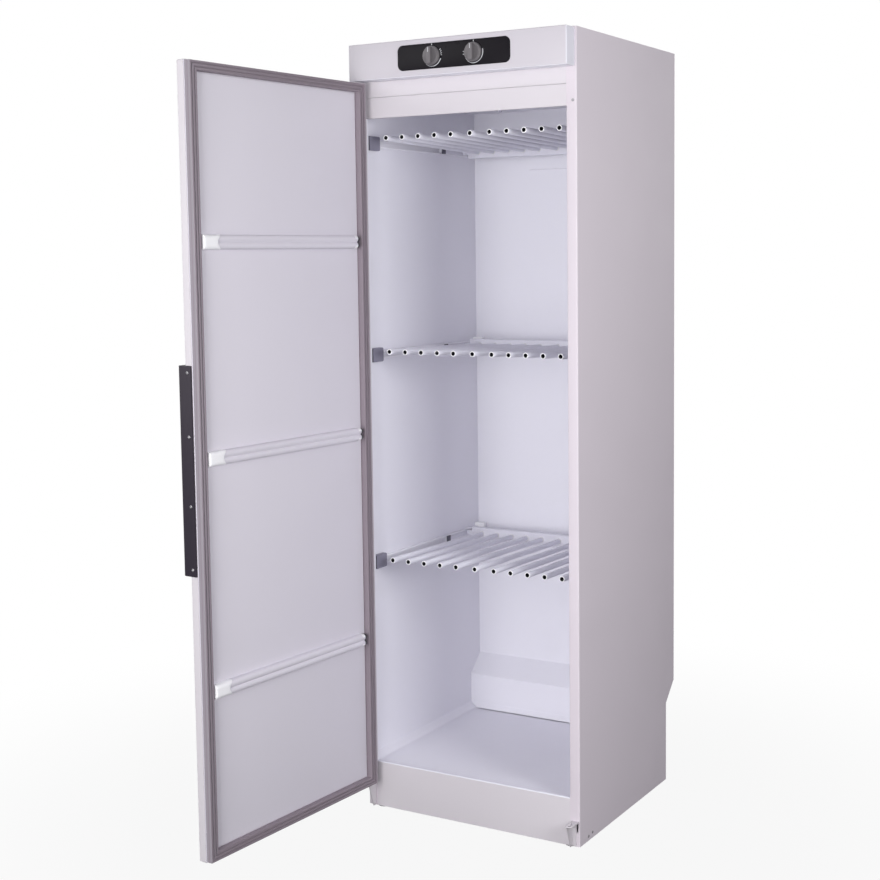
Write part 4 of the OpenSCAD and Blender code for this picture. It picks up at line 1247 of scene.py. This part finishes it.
class CABINET_OT_door_rails(bpy.types.Operator):
    """Draw the three rails on the door and push their end caps on"""

    bl_idname = "cabinet.door_rails"
    bl_label = "Door Rails"

    lobe_overlap = 0.0004
    lobe_steps = 14
    valley = 56
    rail_round = 0.0006
    ear = 0.01
    cap_wall = 0.0008
    cap_trim = 0.006
    cap_lines = (-0.8, -0.6, -0.4, -0.2, 0.2, 0.4, 0.6, 0.8)
    cap_rows = (0.25, 0.5, 0.75)
    cap_round = 0.0018
    scoop, scoop_round = 0.013, 0.0005
    mouth_reach, mouth_gap = 1.1, 1e-4
    waist = 0.05
    # The near-black plugs at the rails' hinge ends are painted shadow: a dark piece put where the rails'
    # ends cast shade.
    plug, plug_seat = 0.007, 0.001
    shadow_plug_inset = 0.0015
    shadow_plug_valley = 72

    def section(self, near_corner, far_corner, grow, valley):
        """Section of a rail in Y and Z: a flat back and two lobes round to the angle of the valley"""
        half = (far_corner.z - near_corner.z) / 2
        middle_z = (far_corner.z + near_corner.z) / 2
        lobe = half / 2 + self.lobe_overlap
        lobe_y, lobe_z = far_corner.y - lobe, half - lobe
        points = [(near_corner.y, -half - grow)]
        points += arc((lobe_y, -lobe_z), lobe + grow, -90, valley, self.lobe_steps)
        points += arc((lobe_y, lobe_z), lobe + grow, -valley, 90, self.lobe_steps)[1:]
        points.append((near_corner.y, half + grow))
        return [(y, middle_z + z) for y, z in points]

    def drawn(self, name, section, start, end):
        """A length of a section from start to end along X"""
        return raised(outline(name, [(start, y, z) for y, z in section]), end - start, 0, 0)

    def cap(self, section, start, end):
        """A cap like a fishtail: narrow in the middle, and hollow where it meets the rail"""
        cap = self.drawn("cap", section, start, end)
        bottom, top = min(z for _, z in section), max(z for _, z in section)
        half, centre = (top - bottom) / 2, (top + bottom) / 2
        for share in self.cap_lines:
            cut(cap, (0, 0, centre + half * share), (0, 0, 1), everything)
        for share in self.cap_rows:
            cut(cap, (start + (end - start) * share, 0, 0), (1, 0, 0), everything)
        pick(cap, "verts", everything)
        for vertex in bmesh.from_edit_mesh(cap.data).verts:
            along_cap = (vertex.co.x - start) / (end - start)
            height = (vertex.co.z - centre) / half
            vertex.co.z -= half * height * self.waist * math.sin(math.pi * along_cap)
            vertex.co.x += self.scoop * (1 - height ** 2) * (1 - along_cap)
        mouth = start + self.scoop
        reach = start + self.scoop * self.mouth_reach
        round_off(cap, both(sharp, at(x=end)), self.cap_round, 4)
        round_off(cap, lambda edge: sharp(edge) and middle(edge).x < mouth + self.mouth_gap
                  and all(vertex.co.x < reach for vertex in edge.verts), self.scoop_round, 2)
        return cap

    def rail(self, near_corner, far_corner, end):
        """A rail with two lobes, pale on the ears at its hinge end"""
        start, ear_end = near_corner.x, near_corner.x + self.ear
        rail = self.drawn("rail", self.section(near_corner, far_corner, 0, self.valley), start, end)
        round_off(rail, both(sharp, at(x=start)), self.rail_round, 2)
        cut(rail, (ear_end, 0, 0), (1, 0, 0), everything)
        centre, reach = (near_corner.z + far_corner.z) / 2, (far_corner.z - near_corner.z) / 4
        return painted(rail, "liner", (
            "cap", lambda face: middle(face).x < ear_end and abs(middle(face).z - centre) > reach,
        ))

    def execute(self, context):
        rails, caps, shadow_plugs = [], [], []
        rail_boxes = solid_boxes("door_rails", CLOSE_DOOR)
        cap_boxes = solid_boxes("door_rail_caps", CLOSE_DOOR)
        for (near_corner, far_corner), (cap_low, cap_high) in zip(rail_boxes, cap_boxes):
            start, cap_start = near_corner.x, cap_low.x + self.cap_trim
            rails.append(self.rail(near_corner, far_corner, cap_start + self.scoop))
            skin = self.section(near_corner, far_corner, self.cap_wall, 0)
            caps.append(self.cap(skin, cap_start, cap_high.x))
            # A near-black plug at each rail's hinge end stands in for the shadow that falls there.
            core = self.section(near_corner, far_corner, -self.shadow_plug_inset, self.shadow_plug_valley)
            shadow_plugs.append(self.drawn("plug", core, start - self.plug, start + self.plug_seat))
        for name, pieces, finish, slot, nodes in (
            ("door_rail_profiles", rails, "liner", "liner_plastic", ["door_rails"]),
            ("door_rail_end_caps", caps, "cap", "white_plastic", ["door_rail_caps"]),
            ("door_rail_plugs", shadow_plugs, "black plastic", "black_plastic", []),
        ):
            finished(on_door(joined(name, pieces)), "door", finish, nodes)
        return {"FINISHED"}


class CABINET_OT_racks(bpy.types.Operator):
    """Weld up the three racks: open tubes on a folded bar, with glides and shoes"""

    bl_idname = "cabinet.racks"
    bl_label = "Racks"

    tube_wall = 0.0022
    bore_share = 0.9
    mouth, mouth_face = 0.003, 0.0006
    weld, weld_back = 0.0028, 0.001
    weld_rise, weld_round = 0.0012, 0.9
    bar_wall, bar_fold = 0.0015, 0.002
    tongue_in, tongue_back, tongue_round = 0.01, 0.002, 0.0008
    glide_round, shoe_round = 0.0006, 0.0008
    parts = (
        ("_tubes", "rack paint", "rack_steel"),
        ("_crossbar", "rack paint", "rack_steel"),
        ("_glides", "rack paint", "zinc_steel"),
        # The shoes take the darker copy of the block colour as their own dark plastic.
        ("_shoes", "dark grey plastic", "black_plastic"),
    )

    def pipe(self, start, end, radius):
        """An open tube with a rounded mouth, its bore painted near-black as painted shade and its cut mouth
        painted white as a painted highlight
        """
        pipe = rod("pipe", start, end, radius, SMALL_SIDES, "NOTHING")
        outward(pipe)
        solidify(pipe, self.tube_wall)
        round_off(pipe, both(sharp, before(y=start.y + self.mouth)), sizes().tube_round, 2)
        line = (end - start).normalized()

        def in_bore(face):
            spoke = middle(face) - start
            return (spoke - line * spoke.dot(line)).length < radius - self.tube_wall * self.bore_share

        def mouth_highlight(face):
            return middle(face).y < start.y + self.mouth_face and not in_bore(face)
        # The bore is painted near-black as painted shade, and the cut mouth white as a painted highlight.
        return painted(pipe, "rack paint", ("bore", in_bore), ("cap", mouth_highlight))

    def tubes(self, body):
        """The tubes, each with a weld at its rear end"""
        bar_low, bar_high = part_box(body + "_crossbar")
        places = sorted(solid_boxes(body + "_tubes"), key=lambda box: box[0].x)
        tube_low, tube_high = places[0]
        radius = (tube_high.x - tube_low.x) / 2
        x = tube_low.x + radius
        start = Vector((x, tube_low.y, tube_high.z - radius))
        end = Vector((x, bar_low.y, (bar_low.z + bar_high.z) / 2))
        pipe = self.pipe(start, end, radius)
        toward = (start - end).normalized()
        weld = rod("weld", end + toward * self.weld, end, radius + self.weld_rise, SMALL_SIDES)
        round_off(weld, both(sharp, before(y=end.y - self.weld_back)), self.weld_rise * self.weld_round)
        pipes = [pipe, weld]
        for place, _ in places[1:]:
            move = (place.x - tube_low.x, 0, 0)
            pipes += [copied(pipe, "pipe", move), copied(weld, "weld", move)]
        return joined(body + "_pipes", pipes)

    def crossbar(self, body):
        """The folded bar, with a tongue at each end that runs in a wall rail"""
        bar = body + "_crossbar"
        (_, front, bottom), (right, back, top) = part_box(bar)
        points = [vertex.co for vertex in frame["nodes"][bar].data.vertices]
        half = max(point.x for point in points if near(point.z, top, READ_GAP))
        channel = folded_sheet(body + "_bar", [
            (-half, back, bottom), (-half, front, bottom), (-half, front, top), (-half, back, top),
        ], (2 * half, 0, 0), self.bar_fold, (0, 1, 0), wall=self.bar_wall)
        centre = (bottom + top) / 2
        reach = max(abs(point.z - centre) for point in points if near(point.x, right, READ_GAP))
        pieces = [channel]
        for side in (-1, 1):
            start, end = sorted((side * (half - self.tongue_in), side * right))
            tongue = cube("tongue", (start, front + self.bar_wall, centre - reach),
                          (end, back - self.tongue_back, centre + reach))
            round_off(tongue, sharp, self.tongue_round, 2)
            pieces.append(tongue)
        return joined(body + "_bar", pieces)

    def execute(self, context):
        first = RACKS[0] + "_rack"
        model = [
            self.tubes(first),
            self.crossbar(first),
            softened(first + "_glides", first + "_glide_bars", self.glide_round),
            softened(first + "_shoes", first + "_glide_shoes", self.shoe_round),
        ]
        for rack in RACKS:
            body = rack + "_rack"
            pieces = model
            if body != first:
                move = (0, 0, low(body + "_crossbar").z - low(first + "_crossbar").z)
                pieces = [copied(piece, piece.name.replace(first, body), move) for piece in model]
            for piece, (part, finish, slot) in zip(pieces, self.parts):
                finished(piece, body, finish, [body + part])
        return {"FINISHED"}


class CABINET_OT_wall_fittings(bpy.types.Operator):
    """Fit the wall rails, their end blocks and their rear stops"""

    bl_idname = "cabinet.wall_fittings"
    bl_label = "Wall Rails"

    rail_round, stop_round, block_round = 0.0004, 0.0008, 0.0012
    front_lean = 0.5

    def execute(self, context):
        rails = softened("wall_rails", "wall_rails_fitted", self.rail_round)
        finished(rails, "cabinet", "rail enamel", ["wall_rails"])
        stops = softened("rail_stops", "rail_stops_fitted", self.stop_round)
        finished(stops, "cabinet", "cap", ["rail_stops"])
        blocks = softened("rail_end_blocks", "rail_end_blocks_moulded", self.block_round, 3)
        # The front faces of the end blocks take the darker copy of the block colour as painted shade.
        painted(blocks, "grey plastic", ("dark grey plastic", facing(0, -1, 0, least=self.front_lean)))
        finished(blocks, "cabinet", "grey plastic", ["rail_end_blocks"])
        return {"FINISHED"}


class CABINET_OT_hinges(bpy.types.Operator):
    """Soften the hinge brackets and drive in the panel screws"""

    bl_idname = "cabinet.hinges"
    bl_label = "Hinges and Screws"

    bracket_round = 0.0007

    def execute(self, context):
        for place in ("upper", "lower", "spare"):
            node = place + "_hinge_bracket"
            bracket = softened(node, node + "_pressed", self.bracket_round)
            finished(bracket, "cabinet", "front paint", [node])
        heads = []
        for near_corner, far_corner in solid_boxes("panel_screws"):
            centre, size = (near_corner + far_corner) / 2, far_corner - near_corner
            axis = min(range(3), key=lambda i: size[i])
            outward_sign = 1 if axis == 0 and far_corner.x > 0 else -1
            rise = Vector()
            rise[axis] = outward_sign * size[axis] / 2
            heads.append(screw_head(centre - rise, centre + rise, max(size) / 2))
        finished(joined("panel_screw_heads", heads), "cabinet", "screw steel",
                 ["panel_screws"])
        return {"FINISHED"}


class CABINET_OT_carried(bpy.types.Operator):
    """Give every CAD node that stays its finish"""

    bl_idname = "cabinet.carried"
    bl_label = "Carried Nodes"

    # The hinge pins take the black finish here instead of their slot's; they show only in the narrow gap
    # under the door.
    other_finishes = {"header_panel": "front paint", "hinge_pins": "black enamel",
                      "door_switch": "grey plastic"}

    def execute(self, context):
        slots = {part["node"]: part["material_slot"] for part in frame["record"]["subparts"]}
        for name, node in frame["nodes"].items():
            paint_whole(node, self.other_finishes.get(name, SLOT_FINISH[slots[name]]))
        return {"FINISHED"}


STEPS = (
    "studio", "carried", "sides", "front_sheets", "fascia", "knobs", "door", "handle", "door_rails",
    "racks", "wall_fittings", "hinges",
)


class CABINET_PT_pieces(bpy.types.Panel):
    """The cabinet's pieces and settings"""

    bl_idname = "CABINET_PT_pieces"
    bl_label = "Drying Cabinet"
    bl_space_type = "VIEW_3D"
    bl_region_type = "UI"
    bl_category = "Cabinet"

    def draw(self, context):
        column = self.layout.column()
        for step in STEPS:
            column.operator("cabinet." + step)
        for settings in ("cabinet_sizes", "cabinet_colours", "cabinet_studio"):
            box = self.layout.box()
            owner = getattr(context.scene, settings)
            for name in owner.bl_rna.properties.keys():
                if name not in ("rna_type", "name"):
                    box.prop(owner, name)


CLASSES = (
    CabinetColours, CabinetSizes, CabinetStudio, CABINET_OT_studio, CABINET_OT_carried, CABINET_OT_sides,
    CABINET_OT_front_sheets, CABINET_OT_fascia, CABINET_OT_knobs, CABINET_OT_door, CABINET_OT_handle,
    CABINET_OT_door_rails, CABINET_OT_racks, CABINET_OT_wall_fittings, CABINET_OT_hinges, CABINET_PT_pieces,
)


def register():
    """Registers the classes and hangs the settings on the scene."""
    for cls in CLASSES:
        bpy.utils.register_class(cls)
    bpy.types.Scene.cabinet_sizes = PointerProperty(type=CabinetSizes)
    bpy.types.Scene.cabinet_colours = PointerProperty(type=CabinetColours)
    bpy.types.Scene.cabinet_studio = PointerProperty(type=CabinetStudio)


def unregister():
    """Takes the settings and the classes away again."""
    del bpy.types.Scene.cabinet_studio
    del bpy.types.Scene.cabinet_colours
    del bpy.types.Scene.cabinet_sizes
    for cls in reversed(CLASSES):
        bpy.utils.unregister_class(cls)


def main():
    """Builds every piece in order."""
    register()
    for step in STEPS:
        getattr(bpy.ops.cabinet, step)()
    deselect()


if __name__ == "__main__":
    main()
